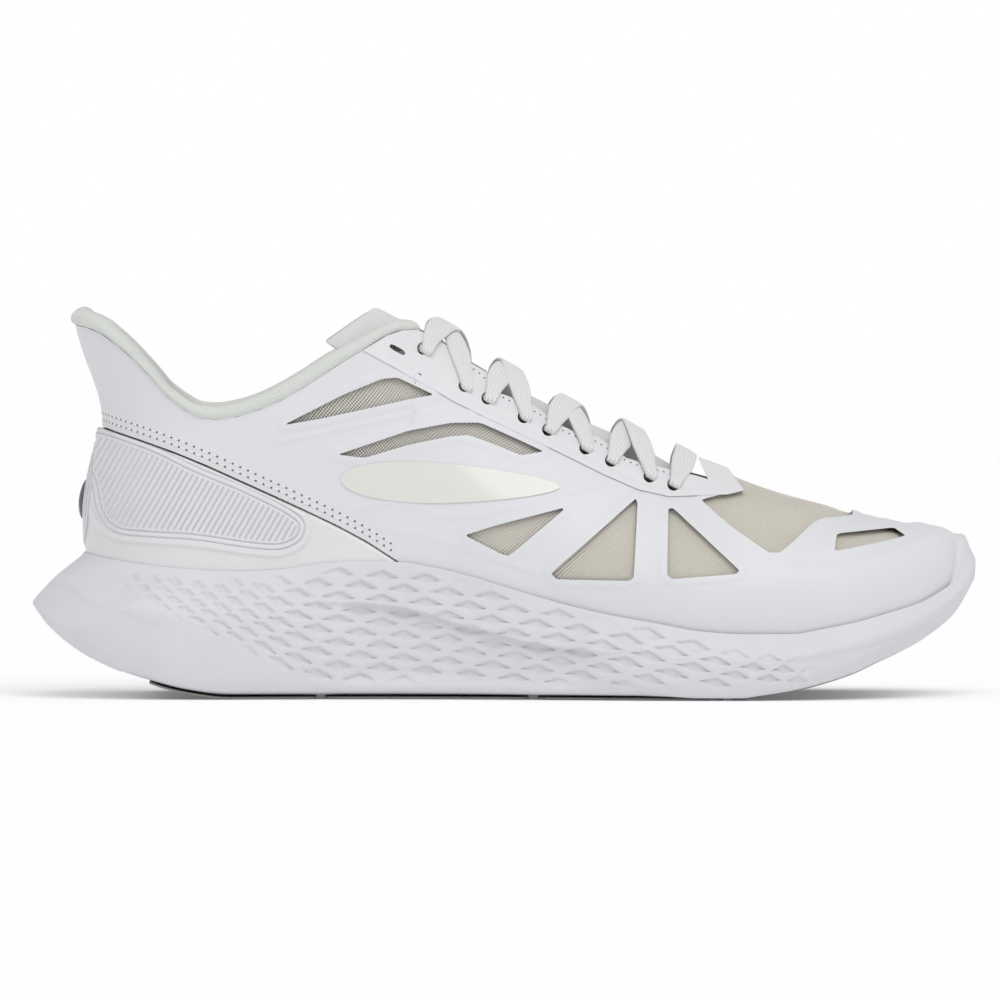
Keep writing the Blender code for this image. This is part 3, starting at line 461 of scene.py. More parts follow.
def cells(pitch, u, v):
    """Distance from the middle of the nearest cell, on rows that are staggered by half."""
    row_a = ((u / pitch).wrapped() - 0.5, (v / pitch).wrapped() - 0.5)
    row_b = ((u / pitch + 0.5).wrapped() - 0.5, (v / pitch + 0.5).wrapped() - 0.5)
    first, second = (((a * a) + (b * b)) ** 0.5 for a, b in (row_a, row_b))
    return first.smaller(second)


sheer = Look("sheer_mesh", (0.78, 0.75, 0.68), 0.75)
mesh_u, mesh_v = sheer.axes()
open_cell = cells(ROW_PITCH, mesh_u, mesh_v)
sheer.set("Alpha", open_cell.above(0.29, 0.06))
sheer.bump(open_cell, 0.5, 0.15)
sheer.drift(80.0, (0.74, 0.71, 0.64), (0.82, 0.79, 0.72))


def woven(name, dark, light, pitch, strength, roughness=0.9):
    """A plain weave: threads over and under, pitch millimetres apart."""
    look = Look(name, light, roughness, Sheen_Weight=0.2)
    u, v = look.axes()
    over = (u * (2 * math.pi / pitch)).sine() * (v * (2 * math.pi / pitch)).sine()
    height = over * 0.5 + 0.5
    soft = look.noise(120.0)
    look.bump(height + 0.3 * look.noise(2500.0), strength, pitch * 0.12)
    # Painted shade: the colour darkens in the weave's valleys, and noise adds random tone.
    look.set("Base Color", look.mix(height * 0.6 + soft * 0.4, dark, light))
    return look


lining_cloth = woven("lining_cloth", (0.62, 0.59, 0.52), (0.74, 0.705, 0.63), 0.9, 0.5)
tongue_cloth = woven("tongue_cloth", (0.64, 0.62, 0.635), (0.73, 0.715, 0.725), 0.8, 0.35)
insole_cloth = woven("insole_cloth", (0.60, 0.59, 0.57), (0.70, 0.69, 0.67), 1.2, 0.5)
core_cloth = woven("mesh_backing", (0.36, 0.35, 0.35), (0.50, 0.49, 0.485), 1.0, 0.4)

knit = Look("collar_knit", (0.76, 0.79, 0.76), 0.9, Sheen_Weight=0.25)
knit_u, knit_v = knit.axes()
wale = (knit_u * (2 * math.pi / 1.5)).sine()
loop = (knit_v * (2 * math.pi / 1.1) + wale * 1.2).sine()
knit_height = wale.size() * 0.6 + loop * 0.3
knit.bump(knit_height + 0.35 * knit.noise(1800.0), 0.6, 0.22)
# Painted shade: the colour darkens in the knit's valleys, and noise adds random tone.
knit.set("Base Color", knit.mix(knit_height * 0.7 + 0.3 * knit.noise(150.0),
                                (0.60, 0.625, 0.59), (0.73, 0.745, 0.72)))

lace_weave = Look("lace_weave", (0.74, 0.745, 0.75), 0.85, Sheen_Weight=0.2)
lace_u, lace_v = lace_weave.axes()
chevron = (lace_u * (2 * math.pi / 1.3) + lace_v.size() * 4.2).sine()
warp = (lace_v * (2 * math.pi / 1.15)).sine()
braid = chevron * 0.5 + warp * 0.35
lace_weave.bump(braid + 0.25 * lace_weave.noise(2500.0), 0.6, 0.18)
# Painted shade: the colour darkens in the braid's valleys.
lace_weave.set("Base Color", lace_weave.mix(braid * 0.6 + 0.5, (0.62, 0.625, 0.63),
                                            (0.80, 0.80, 0.80)))
print("cloths:", [look.material.name for look in (sheer, lining_cloth, knit, lace_weave)])


# %% [markdown]
# ## Laying a sheet on the foot shape
# A sheet starts as Blender's own grid. Its vertices are then carried onto the surface, the
# way cloth is pulled over a last, and Solidify gives it its thickness. Arc lengths along
# and up the sheet are kept as its cloth coordinates, so a weave keeps its true size.


# %% Sheet helpers
KNIFE_REACH = 90


def link(name, mesh, *looks):
    obj = bpy.data.objects.new(name, mesh)
    bpy.context.scene.collection.objects.link(obj)
    for look in looks:
        mesh.materials.append(look.material)
    return obj


def grid_object(name, columns, rows, place, *looks, wrap=False):
    """A grid of columns by rows cells, its vertices placed by place(u, v), u and v 0..1."""
    bm = bmesh.new()
    bmesh.ops.create_grid(bm, x_segments=columns, y_segments=rows, size=1)
    mesh = bpy.data.meshes.new(name)
    bm.to_mesh(mesh)
    bm.free()
    flat = np.empty(len(mesh.vertices) * 3)
    mesh.vertices.foreach_get("co", flat)
    flat = flat.reshape(-1, 3)
    column = np.rint((flat[:, 0] + 1) / 2 * columns).astype(int)
    row = np.rint((flat[:, 1] + 1) / 2 * rows).astype(int)
    us, vs = np.meshgrid(np.arange(columns + 1) / columns, np.arange(rows + 1) / rows,
                         indexing="ij")
    points = place(us, vs)
    across = np.linalg.norm(np.diff(points, axis=0), axis=-1)[:, rows // 2]
    length_u = running(across)
    upward = np.linalg.norm(np.diff(points, axis=1), axis=-1)
    length_v = np.concatenate([np.zeros((columns + 1, 1)), np.cumsum(upward, axis=1)], 1)
    mesh.vertices.foreach_set("co", (points[column, row] * MM).ravel())
    corner = np.empty(len(mesh.loops), int)
    mesh.loops.foreach_get("vertex_index", corner)
    cloth = np.stack([length_u[column[corner]], length_v[column[corner], row[corner]]], -1)
    layer = mesh.uv_layers.new(name="cloth")
    layer.data.foreach_set("uv", cloth.ravel())
    for spare in [l for l in mesh.uv_layers if l.name != "cloth"]:
        mesh.uv_layers.remove(spare)
    mesh.polygons.foreach_set("use_smooth", np.ones(len(mesh.polygons), bool))
    mesh.update()
    if wrap:
        tidy(mesh)
    return link(name, mesh, *looks)


def tidy(mesh):
    """Closes seams and poles and turns the faces outwards."""
    bm = bmesh.new()
    bm.from_mesh(mesh)
    bmesh.ops.remove_doubles(bm, verts=bm.verts, dist=2e-6)
    bmesh.ops.dissolve_degenerate(bm, edges=bm.edges, dist=1e-7)
    bmesh.ops.recalc_face_normals(bm, faces=bm.faces)
    bm.to_mesh(mesh)
    bm.free()


def face_out(obj):
    """Turns an open sheet's faces away from the inside of the shoe."""
    mesh = obj.data
    middle = mesh.polygons[len(mesh.polygons) // 2]
    inside = Vector((middle.center.x * 0.8, 0.0, 0.04))
    if middle.normal.dot(middle.center - inside) < 0:
        mesh.flip_normals()


def settle(obj, sharp_angle=35):
    """Applies an object's modifiers, then shades it smooth with sharp cut edges."""
    graph = bpy.context.evaluated_depsgraph_get()
    mesh = bpy.data.meshes.new_from_object(obj.evaluated_get(graph))
    obj.modifiers.clear()
    obj.data = mesh
    mesh.polygons.foreach_set("use_smooth", np.ones(len(mesh.polygons), bool))
    mesh.set_sharp_from_angle(angle=math.radians(sharp_angle))
    return obj


def thicken(obj, thickness):
    solid = obj.modifiers.new("thickness", "SOLIDIFY")
    solid.thickness = thickness * MM
    solid.offset = -1
    return solid


def cut(obj, cutter, operation="DIFFERENCE"):
    step = obj.modifiers.new(operation.lower(), "BOOLEAN")
    step.operation = operation
    step.solver = "MANIFOLD"
    step.object = cutter


def sheet(name, columns, rows, place, look, thickness, keep, cuts=(), wrap=False):
    """A thin closed sheet: what lies inside the knife keep, less what the others cut off."""
    obj = grid_object(name, columns, rows, place, look, wrap=wrap)
    face_out(obj)
    thicken(obj, thickness)
    cut(obj, keep, "INTERSECT")
    for blade in cuts:
        cut(obj, blade)
    return settle(obj)


def rounded(points, times=2, share=0.2):
    """An outline with its corners cut again and again until they are round."""
    for _ in range(times):
        smooth = []
        for (x0, z0), (x1, z1) in zip(points, points[1:] + points[:1]):
            smooth += [(x0 * (1 - share) + x1 * share, z0 * (1 - share) + z1 * share),
                       (x0 * share + x1 * (1 - share), z0 * share + z1 * (1 - share))]
        points = smooth
    return points


def knife(name, outlines):
    """Side-view outlines drawn through the shoe; it cuts and isn't shown."""
    bm = bmesh.new()
    for outline in outlines:
        verts = [bm.verts.new(Vector((x, -KNIFE_REACH, z)) * MM) for x, z in outline]
        made = bmesh.ops.extrude_face_region(bm, geom=[bm.faces.new(verts)])
        moved = [v for v in made["geom"] if isinstance(v, bmesh.types.BMVert)]
        bmesh.ops.translate(bm, verts=moved, vec=Vector((0, 2 * KNIFE_REACH * MM, 0)))
    bmesh.ops.recalc_face_normals(bm, faces=bm.faces)
    mesh = bpy.data.meshes.new(name)
    bm.to_mesh(mesh)
    bm.free()
    obj = link(name, mesh)
    obj.hide_render = True
    return obj


def give(obj, body, *nodes, slot):
    """Rides the body and stands for its CAD nodes, which it hides; its slot argument is not used.
    """
    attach(obj, body)
    if nodes:
        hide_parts(*nodes)
    print(obj.name, len(obj.data.polygons) if obj.type == "MESH" else obj.type)
    return obj


# %% [markdown]
# ## The midsole
# The sole is one block of moulded foam. Its side bulges, steps in under a ledge at the
# arch, and carries rows of shallow diamond pockets, sharp along the top and fading out
# below. The side is a fine grid, moved inwards where a pocket or the step is, because the
# pockets show as real dents in the outline. The profile keeps close to the CAD solid's,
# and at the toe its upper edge rises in a bumper.

# %% Plan outlines of the sole
TREAD = 1.2
BUMPER_TOP = 51.6
under_cut = curve([(-151, 0), (-124, 0), (-116, TREAD), (128, TREAD), (140, 0), (152, 0)])
fullness = curve([(-151.2, 0.02), (-140, 0.3), (-115, 1), (152, 1)])


def sole_half(side, x, inset):
    """Half width of the foam at x, drawn in by inset all round."""
    half = (sole_lateral if side < 0 else sole_medial)(x) - inset
    half = half * end_round(x - HEEL_X - inset, 44, 2.3)
    return half * end_round(TOE_X - inset - x, 62, 2.0)


def sole_plan(side, a, inset):
    x = HEEL_X + inset + (TOE_X - HEEL_X - 2 * inset) * eased(a)
    half = sole_half(side, x, inset)
    bottom = sole_z(x) + under_cut(x)
    return x, side * half + toe_shift(x), bottom


def rim_plan(side, a, out, pull=0.0, drop=0.0):
    """The foam's upper edge, out from the upper. At the toe it rises in a bumper."""
    back, front = heel_back(46) - out, UPPER_TOE_X + out
    x = back + (front - back) * eased(a)
    inside = np.clip(x, heel_back(46), UPPER_TOE_X)
    half = (upper_lateral if side < 0 else upper_medial)(inside) + out
    half = half * end_round(x - back, 37 + out, 2.15) * end_round(front - x, 58 + out, 2.1)
    bumper = (1 - smooth_step(half, 4, 22)) * (x > 0)
    raised = (BUMPER_TOP - 0.018 * half ** 2 - rim_z(x)) * bumper
    z = rim_z(x)
    depth = np.clip((widest_z(x) - z) / np.maximum(widest_z(x) - feather_z(x), 1), 0, 2)
    t = np.clip((z - widest_z(x)) / (ridge_z(x) - widest_z(x)), 0, 0.97)
    power = section_power(x)
    half = half * np.where(z < widest_z(x), 1 - 0.1 * depth ** 2,
                           (1 - t ** power) ** (1 / power))
    z = z + raised - drop * bumper
    return np.stack([x - pull * bumper, side * half + toe_shift(x), z], -1)


def profile(side, a):
    """Key points of the sole's profile at a, from the middle of its underside up and in."""
    keys, full = [], fullness(sole_plan(side, a, 0.0)[0])
    for inset, share in ((14, 0.0), (3.5, 0.04), (0.7, 0.3), (0.0, 0.6)):
        x, y, bottom = sole_plan(side, a, inset)
        if inset < 5:
            bottom = bottom - under_cut(x) * smooth_step(x, 42, 62)
        height = share * full * np.maximum(rim_z(x) - bottom, 6)
        keys.append(np.stack([x, y, bottom + height], -1))
    centre = keys[0].copy()
    centre[:, 1] = toe_shift(centre[:, 0])
    belly = keys[-1]
    outer, lip, inner, under = (
        rim_plan(side, a, out, pull, drop) + np.array([0, 0, up])
        for out, pull, drop, up in ((1.9, -1.5, 3.6, -0.5), (1.5, 0.4, 0.1, 0.15),
                                    (0.3, 3.0, 0, 0.1), (-0.5, 3.8, 0, -2.0)))
    mid = belly + (outer - belly) * np.array([0.42, 0.42, 0.5])
    for ring, out in ((belly, 0.5), (mid, 1.2)):
        ring[:, 0] += out * smooth_step(belly[:, 0], 146, 151)
    return [centre] + keys + [mid, outer, lip, inner, under]


# %% Diamond pockets and the ledge
row_line = curve([
    (-125, 42), (-110, 41), (-92, 38.6), (-80, 36.2), (-65, 33.6), (-50, 32.4),
    (-33, 31.2), (-17, 30.1), (-3.6, 28.9), (10, 27.8), (25, 26.1), (39, 23.3),
    (53, 19.5), (66, 16.2), (80, 13.6), (100, 12),
])
pitch_along = curve([(-125, 6.0), (-95, 7.6), (-75, 10), (-55, 13.6), (60, 14.4), (80, 10.5),
                     (102, 7.5)])
ledge_line = curve([(-75, 31), (-58.6, 30.9), (-49.1, 30.9), (-36.6, 29.8), (-25.6, 27.6),
                    (-18.2, 25.1), (-10.9, 22.9), (-3.5, 21.4), (3.8, 19.2), (11.1, 17.7),
                    (18.5, 16.6), (24.4, 16), (40, 14.6)])
POCKET_DEPTH, LEDGE_DEPTH = 0.95, 2.4
ROW_GAP, POCKET_TALL = 3.75, 2.35  # from row to row, and half a pocket's height
POCKET_LONG = 0.43  # half a pocket's length, as a share of the pitch along the row
spots = np.linspace(-160, 160, 1600)
pockets_so_far = np.cumsum((spots[1] - spots[0]) / pitch_along(spots))
first_pocket, last_pocket = np.interp((-116, 86), spots, pockets_so_far)
print("pockets of full depth in a long row: about", round(float(last_pocket - first_pocket)))


def dents(x, z):
    """How far the foam's side is pressed in at (x, z), in millimetres."""
    pitch, heel = pitch_along(x), smooth_step(-x, 50, 92)
    number = np.interp(x, spots, pockets_so_far)
    gap = ROW_GAP - 0.5 * smooth_step(x, 40, 90) - 0.95 * heel
    half = POCKET_TALL - 0.25 * smooth_step(x, 40, 90) - 1.0 * heel
    height = (row_line(x) - z) / gap
    best = np.zeros_like(x)
    for shift in (0, 1):
        row = np.round((height - shift) / 2) * 2 + shift
        across = (number + 0.5 * (shift % 2)) % 1 - 0.5
        up = ((row - height) * gap + 0.3 * heel * across * pitch) / half
        reach = 1 - np.abs(across) / POCKET_LONG - np.abs(up)
        steep = np.where(up > 0, 4.5, 1.3)
        depth = np.clip(reach * steep, 0, 1)
        depth = depth * depth * (3 - 2 * depth)
        row_z = row_line(x) - row * gap
        inside = smooth_step(row_z, 3.6, 5.2) * smooth_step(rim_z(x) - row_z, 2.2, 4.0)
        left_edge = 36.5 - (x + 125) * 0.5
        inside = inside * smooth_step(row_z - left_edge, -1, 3)
        inside = inside * smooth_step(x, -128, -116) * smooth_step(-x, -103, -86)
        tier = smooth_step(x, 55, 75) * smooth_step(row, 0.5, -0.5)
        best = np.maximum(best, depth * inside * (1 - 0.8 * tier) * (1 - 0.35 * heel))
    ledge = smooth_step(ledge_line(x) - z, -0.35, 0.45)
    ledge = ledge * smooth_step(x, -66, -38) * smooth_step(-x, -38, -14)
    fill = smooth_step(z, 1.5, 9)
    return best * POCKET_DEPTH + ledge * LEDGE_DEPTH * (0.25 + 0.75 * fill)


def creases(x, z):
    """Soft moulded lines at the toe and at the heel."""
    toe_line = curve([(83.4, 12), (91.8, 12.6), (102.2, 15), (112.6, 16.8), (126.5, 20.6),
                      (140.4, 26.1)])(x)
    heel_line = curve([(-140.8, 36), (-130.4, 30.4), (-120, 27.7), (-109.5, 24.5),
                       (-100.6, 23.2)])(x)
    toe = smooth_step(toe_line - z, -0.8, 1.4) * smooth_step(x, 80, 100)
    heel = smooth_step(heel_line - z, -0.8, 1.4) * smooth_step(-x, 98, 118)
    return 0.55 * toe + 0.45 * heel


# %% The foam block
SOLE_COLUMNS, SIDE_ROWS = 640, 120


PROFILE_SHARE = np.array([0, 0.06, 0.12, 0.3, 0.54, 0.74, 0.91, 0.94, 0.97, 1.0])


def blend_profile(keys, v):
    """A smooth line through the profile's key points that never swings past one."""
    share, stack = PROFILE_SHARE, np.stack(keys, 0)
    steps = np.diff(stack, axis=0) / np.diff(share)[:, None, None]
    product = steps[:-1] * steps[1:]
    total = np.where(product > 0, steps[:-1] + steps[1:], 1.0)
    slope = np.concatenate([steps[:1], np.where(product > 0, 2 * product / total, 0.0),
                            steps[-1:]])
    i = np.clip(np.searchsorted(share, v[0], side="right") - 1, 0, len(share) - 2)
    t = ((v[0] - share[i]) / (share[i + 1] - share[i]))[None, :, None]
    span = (share[i + 1] - share[i])[None, :, None]
    p0, p1 = np.moveaxis(stack[i], 0, 1), np.moveaxis(stack[i + 1], 0, 1)
    m0, m1 = np.moveaxis(slope[i], 0, 1), np.moveaxis(slope[i + 1], 0, 1)
    return (p0 * (1 + 2 * t) * (1 - t) ** 2 + p1 * t * t * (3 - 2 * t)
            + m0 * span * t * (1 - t) ** 2 - m1 * span * t * t * (1 - t))


def sole_side(side):
    def place(u, v):
        points = blend_profile(profile(side, u[:, 0]), v)
        along = np.gradient(points, axis=0)
        up = np.gradient(points, axis=1)
        out = np.cross(along, up) * -side
        out /= np.maximum(np.linalg.norm(out, axis=-1, keepdims=True), 1e-9)
        x, z = points[..., 0], points[..., 2]
        ends = np.clip(np.minimum(u, 1 - u) * 30, 0, 1)[..., None]
        wall = (smooth_step(v, 0.13, 0.2) * smooth_step(-v, -0.92, -0.89))[..., None]
        return points - out * (dents(x, z) + creases(x, z))[..., None] * ends * wall
    return place


for side in (LATERAL, MEDIAL):
    wall = grid_object("midsole_side_" + SIDE_NAMES[side], SOLE_COLUMNS, SIDE_ROWS,
                       sole_side(side), foam)
    face_out(wall)
    give(wall, "shoe", "midsole", slot="foam")


# %% [markdown]
# ## The cage, the net and the stays
# The upper's outside is a cage of smooth film pressed onto a sheer net. Seven windows on
# each side leave the net bare. The film is one thin shell over the foot shape, and the
# windows are cut from it with rounded outlines drawn from the side. A fine raised line runs
# round each window, where the film's edge was sealed.

# %% Outlines of the cage
STAY_SEAM = [
    (-50, 113.8), (-45.3, 111.3), (-35.2, 105.9), (-31.8, 103.8), (-23.4, 99.3), (-16.5, 95.1),
    (-6.1, 89.9), (15.8, 79.5), (32.1, 71.5), (43.1, 66.7), (53, 64.5),
    (62, 64.7), (71.8, 64.9), (77, 66.1),
]
THROAT = [
    (-19.5, 113.6), (-13.7, 108.8), (-5.6, 104.1), (-1.5, 97.5), (10.2, 93.2), (18, 87.3),
    (24.1, 84.3), (30.4, 83.4), (39.4, 76.6), (49.7, 73.9), (60.5, 71.2),
    (65.5, 69.8),
]
WINDOWS = {
    "front_of_collar": [(-70.2, 87.5), (-51.3, 97.1), (-38.8, 102.2), (-33.8, 102.6),
                        (-22.2, 97.1), (-30.5, 95.6), (-44.2, 92.6), (-58, 89.6)],
    "chevron": [(-52.9, 78.1), (-40.7, 82.2), (-30.4, 85.7), (-16.5, 88.2),
                (-7.4, 88.2), (4.3, 83), (12.8, 79), (5.7, 77.8), (-2.6, 81.2),
                (-11, 84.3), (-16.5, 84), (-30.4, 81.2), (-44.2, 77.1)],
    "wedge": [(-12.4, 52.5), (-2, 55.8), (20.4, 61.6), (1.7, 46), (-0.7, 46.6)],
    "fan_middle": [(15.2, 40.5), (42.2, 64.1), (42.8, 62.4), (41.5, 39.5),
                   (39.9, 38.2), (16.9, 38.6)],
    "fan_front": [(52.6, 60.8), (54.2, 61), (75.1, 41.6), (74.2, 40.4), (53.8, 38.8),
                  (52.1, 40)],
    "vamp": [(63.2, 63.6), (66.1, 60.8), (71.8, 55.9), (79.9, 50.2), (84.8, 47.1),
             (88.1, 47.1), (91, 49.3), (98.7, 56.2), (102, 57.6), (112.6, 58.2),
             (113.5, 90), (72.2, 90), (72, 73.4), (76.6, 66.8)],
    "toe_slot": [(105.5, 47.3), (106.5, 52.9), (125, 54.3), (128.9, 51.7)],
}
EYELETS = [(-25.6, 111.8), (-12.3, 99.9), (-5, 95.9), (6.6, 89.9), (14.4, 85.8),
           (26.3, 79.9), (34.5, 76), (46.8, 71), (54.4, 68.4)]
SPARE_SLOT = [(-36.7, 112.2), (-35.9, 113.5), (-31.1, 110.7), (-31.9, 109.4)]
EYELET_RADIUS = 2.05
TALL, DEEP, BACK, FRONT = 260, -10, -170, 170
FILM_LINES = [  # raised lines where two films overlap
    [(83, 48), (90, 43.6), (100, 42.8), (112.6, 44), (125, 47), (136, 51), (137.5, 53.4),
     (131, 56)],
    [(-72, 82), (-55, 85.5), (-38, 89.5), (-20, 92), (-8, 91.5)],
    [(-50, 60), (-36, 63.5), (-26, 60.5), (-14, 57), (6, 62), (30, 66)],
    [(-40, 55), (-22, 52), (-4, 45), (10, 41)],
]


def distance_to(line, x, z, closed=False):
    """Distance from every (x, z) to a line drawn in the side view."""
    points = list(line) + ([line[0]] if closed else [])
    best = np.full(x.shape, 1e9)
    for (x0, z0), (x1, z1) in zip(points, points[1:]):
        dx, dz = x1 - x0, z1 - z0
        t = np.clip(((x - x0) * dx + (z - z0) * dz) / (dx * dx + dz * dz), 0, 1)
        best = np.minimum(best, np.hypot(x - x0 - t * dx, z - z0 - t * dz))
    return best


def ridge(distance, middle, width):
    return np.exp(-((distance - middle) / width) ** 2)


WINDOW_LINES = {name: rounded(outline, 3, 0.07) for name, outline in WINDOWS.items()}


def film_relief(x, z):
    """Height of the raised lines on the film, in millimetres."""
    height = np.zeros(x.shape)
    for outline in WINDOW_LINES.values():
        gap = distance_to(outline, x, z, True)
        height = np.maximum(height, 0.34 * smooth_step(-gap, -2.6, -2.1))
    for line in FILM_LINES:
        height = np.maximum(height, 0.4 * ridge(distance_to(rounded_line(line), x, z), 0, 0.7))
    return height


def rounded_line(points, times=3):
    for _ in range(times):
        smooth = [points[0]]
        for (x0, z0), (x1, z1) in zip(points, points[1:]):
            smooth += [(x0 * 0.75 + x1 * 0.25, z0 * 0.75 + z1 * 0.25),
                       (x0 * 0.25 + x1 * 0.75, z0 * 0.25 + z1 * 0.75)]
        points = smooth + [points[-1]]
    return points


def over_shoe(depth, first=-1.0, last=1.0):
    """Placement for a sheet laid over the foot shape between two turns."""
    def place(u, v):
        turn = first + (last - first) * u
        base = foot_surface(turn, v)
        amount = depth(base[..., 0], base[..., 2]) if callable(depth) else depth
        return layer_point(turn, v, np.broadcast_to(amount, turn.shape))
    return place


# %% Knives that cut the sheets
top_knife = knife("topline_knife", [
    [(BACK, TOPLINE[0][1])] + TOPLINE + [(-19.5, 113.6), (-13.7, 168.8), (-13.7, TALL),
                                         (BACK, TALL)]])
throat_knife = knife("throat_knife", [
    [(-19.5, TALL)] + THROAT + [(61.6, 78.5), (61, TALL)]])
window_knife = knife("window_knife", list(WINDOW_LINES.values()))
eyelet_rings = [[(x + EYELET_RADIUS * math.cos(k * math.pi / 10),
                  z + EYELET_RADIUS * math.sin(k * math.pi / 10)) for k in range(20)]
                for x, z in EYELETS]
eyelet_knife = knife("eyelet_knife", eyelet_rings + [rounded(SPARE_SLOT, 2)])
cage_outline = ([(-145, 62), (-145, 150), (-50, 150), (-50, 113.6)]
                + [(x, z + 0.8) for x, z in STAY_SEAM]
                + [(72, 73.4), (72, 110), (FRONT, 110), (FRONT, DEEP), (0, DEEP)]
                + [(x + 0.3, z + 0.2) for x, z in PANEL_EDGE][::-1])
cage_knife = knife("cage_knife", [cage_outline])
print("openings on each side:", len(WINDOWS), "windows and", len(EYELETS), "eyelets")

# %% The film cage, a half for each side
for side in (LATERAL, MEDIAL):
    film_place = over_shoe(lambda x, z: -film_relief(x, z), 0.0, float(side))
    cage = sheet("film_cage_" + SIDE_NAMES[side], 400, 118, film_place, film, 0.75,
                 cage_knife, (top_knife, window_knife))
    give(cage, "shoe", "quarter_skin_" + SIDE_NAMES[side], slot="fused_film")
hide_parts("toe_skin")

# %% The net under it, and the lining inside
net_knife = knife("net_knife", [[(-72, DEEP), (143.5, DEEP), (143.5, TALL), (-72, TALL)]])
openings = (top_knife, throat_knife, eyelet_knife)
net = sheet("net", 420, 70, over_shoe(1.3), sheer, 0.2, net_knife, openings, wrap=True)
give(net, "shoe", "mesh_lateral", "mesh_medial", "mesh_vamp", slot="sheer_mesh")

lining_knife = knife("lining_knife", [
    [(BACK, 102), (-128, 98), (-118, 90), (-104, 76), (-92, 74), (-75, 82), (-62, 92),
     (-50, 100), (-38, 106), (-20, 113.6), (-13.7, 168.8), (-13.7, TALL), (BACK, TALL)]])
toe_knife = knife("lining_toe_knife", [[(140.5, DEEP), (FRONT, DEEP), (FRONT, TALL),
                                       (140.5, TALL)]])
lining = grid_object("lining", 300, 60, over_shoe(
    lambda x, z: 2.0 + 0.75 * smooth_step(-x, 52, 70)), lining_cloth, core_cloth, wrap=True)
face_out(lining)
for face in lining.data.polygons:
    face.material_index = int(-66 < face.center.x / MM < 16 and face.center.z / MM > 73)
thicken(lining, 0.6).material_offset = -1
for blade in (lining_knife, toe_knife, throat_knife, eyelet_knife):
    cut(lining, blade)
settle(lining)
give(lining, "shoe", "lining", slot="lining_cloth")

# %% The eyelet stays
stay_outline = [(x, z + 0.2) for x, z in STAY_SEAM] + [
    (71.9, 73.4), (71.6, TALL), (-50, TALL)]
stay_knife = knife("stay_knife", [stay_outline])


def stay_relief(x, z):
    """The stay lies a little proud, with a sunken line just inside its seam."""
    seam = distance_to(STAY_SEAM, x, z)
    return 0.45 - 0.25 * ridge(seam, 2.6, 0.6)


stay = sheet("eyestays", 420, 150, over_shoe(lambda x, z: -stay_relief(x, z), -0.8, 0.8),
             coated, 1.0, stay_knife, openings)
give(stay, "shoe", "eyestay_lateral", "eyestay_medial", slot="synthetic_leather")


# %% [markdown]
# ## The moulded heel clip
# A clip of moulded plastic holds the heel. It has a smooth raised welt round a panel of
# fine slanted ribs, and thin rings round the reflective tab at the back. The clip is a grid
# that runs from the foam's edge up to the stitched edge of the quarter, so its outline needs
# no cutting, and its ribs are pushed out of the grid itself.

# %% Ribs, welt and rings
RIB_PANEL = [
    (-129.8, 85), (-112.5, 79.5), (-98.6, 72.5), (-84.7, 67), (-70.8, 60.4), (-64.6, 56.2),
    (-66, 51.7), (-71.5, 49.3), (-81.4, 50.1), (-98.6, 52.8), (-112.5, 53.5),
    (-122.2, 54.1), (-126.3, 56.6), (-128.8, 60.7), (-129.8, 67), (-131.2, 71.2),
    (-133, 73.9), (-134, 83),
]
RIB_PITCH, RIB_LEAN = 1.75, 60
TAB_Z, TAB_TALL, TAB_WIDE = 63, 6.5, 4.2  # the tab's middle, and half its height and width
RING_PITCH = 2.4
GROOVE_DEPTH, WELT_WIDE, WELT_HEIGHT = 0.4, 4.6, 0.75


def inside_outline(outline, x, z):
    """True where (x, z) lies inside a side-view outline."""
    inside = np.zeros(x.shape, bool)
    for (x0, z0), (x1, z1) in zip(outline, outline[1:] + outline[:1]):
        if z0 != z1:
            crossing = (z0 > z) != (z1 > z)
            inside ^= crossing & (x < x0 + (z - z0) * (x1 - x0) / (z1 - z0))
    return inside


rib_line = rounded(RIB_PANEL, 2)


def clip_relief(point):
    """Height of the clip's welt and rings over its face, and how deep in a groove it is; the
    groove depth also sets the painted shade in the grooves.
    """
    x, y, z = point[..., 0], point[..., 1], point[..., 2]
    gap = distance_to(rib_line, x, z, True) * np.where(inside_outline(rib_line, x, z), -1, 1)
    lean = math.radians(RIB_LEAN)
    phase = (x * math.sin(lean) - z * math.cos(lean)) / RIB_PITCH
    groove = ridge((phase % 1 - 0.5) * RIB_PITCH, 0, 0.24) * smooth_step(-gap, 0.7, 1.1)
    for place, wide in ((0.0, 0.25), (1.7, 0.22)):
        groove = np.maximum(groove, ridge(gap, place, wide))
    reach = np.hypot(y, (z - TAB_Z) * 0.9)
    near = smooth_step(-reach, -15, -12) * smooth_step(-x, 118, 126)
    groove = np.where(near > 0.5, ridge(reach % RING_PITCH - RING_PITCH / 2, 0, 0.3), groove)
    welt = WELT_HEIGHT * smooth_step(-gap, -WELT_WIDE, -WELT_WIDE + 1.1)
    return np.maximum(welt, near * 0.8) - GROOVE_DEPTH * groove, groove


CLIP_TIP = (-33.5, 43.8)
clip_end = float(turn_at(1, *CLIP_TIP))


def clip_place(u, v):
    turn = (2 * u - 1) * clip_end
    z = np.full(turn.shape, 55.0)
    for _ in range(4):
        back = heel_back(z)
        x = back + (UPPER_TOE_X - back) * eased(np.abs(turn))
        low, high = rim_z(x) - 2.0, panel_edge_z(x) - 0.3
        z = low + (np.maximum(high, low + 0.5) - low) * v
    rise = rise_at(turn, z)
    height, _ = clip_relief(foot_surface(turn, rise))
    from_edge = np.minimum((1 - v) * (high - low), v * (high - low) + 0.8)
    edge = np.sqrt(np.clip(1 - (1 - np.clip(from_edge / 1.3, 0, 1)) ** 2, 0, 1))
    return layer_point(turn, rise, 0.5 - edge * (1.4 + height))


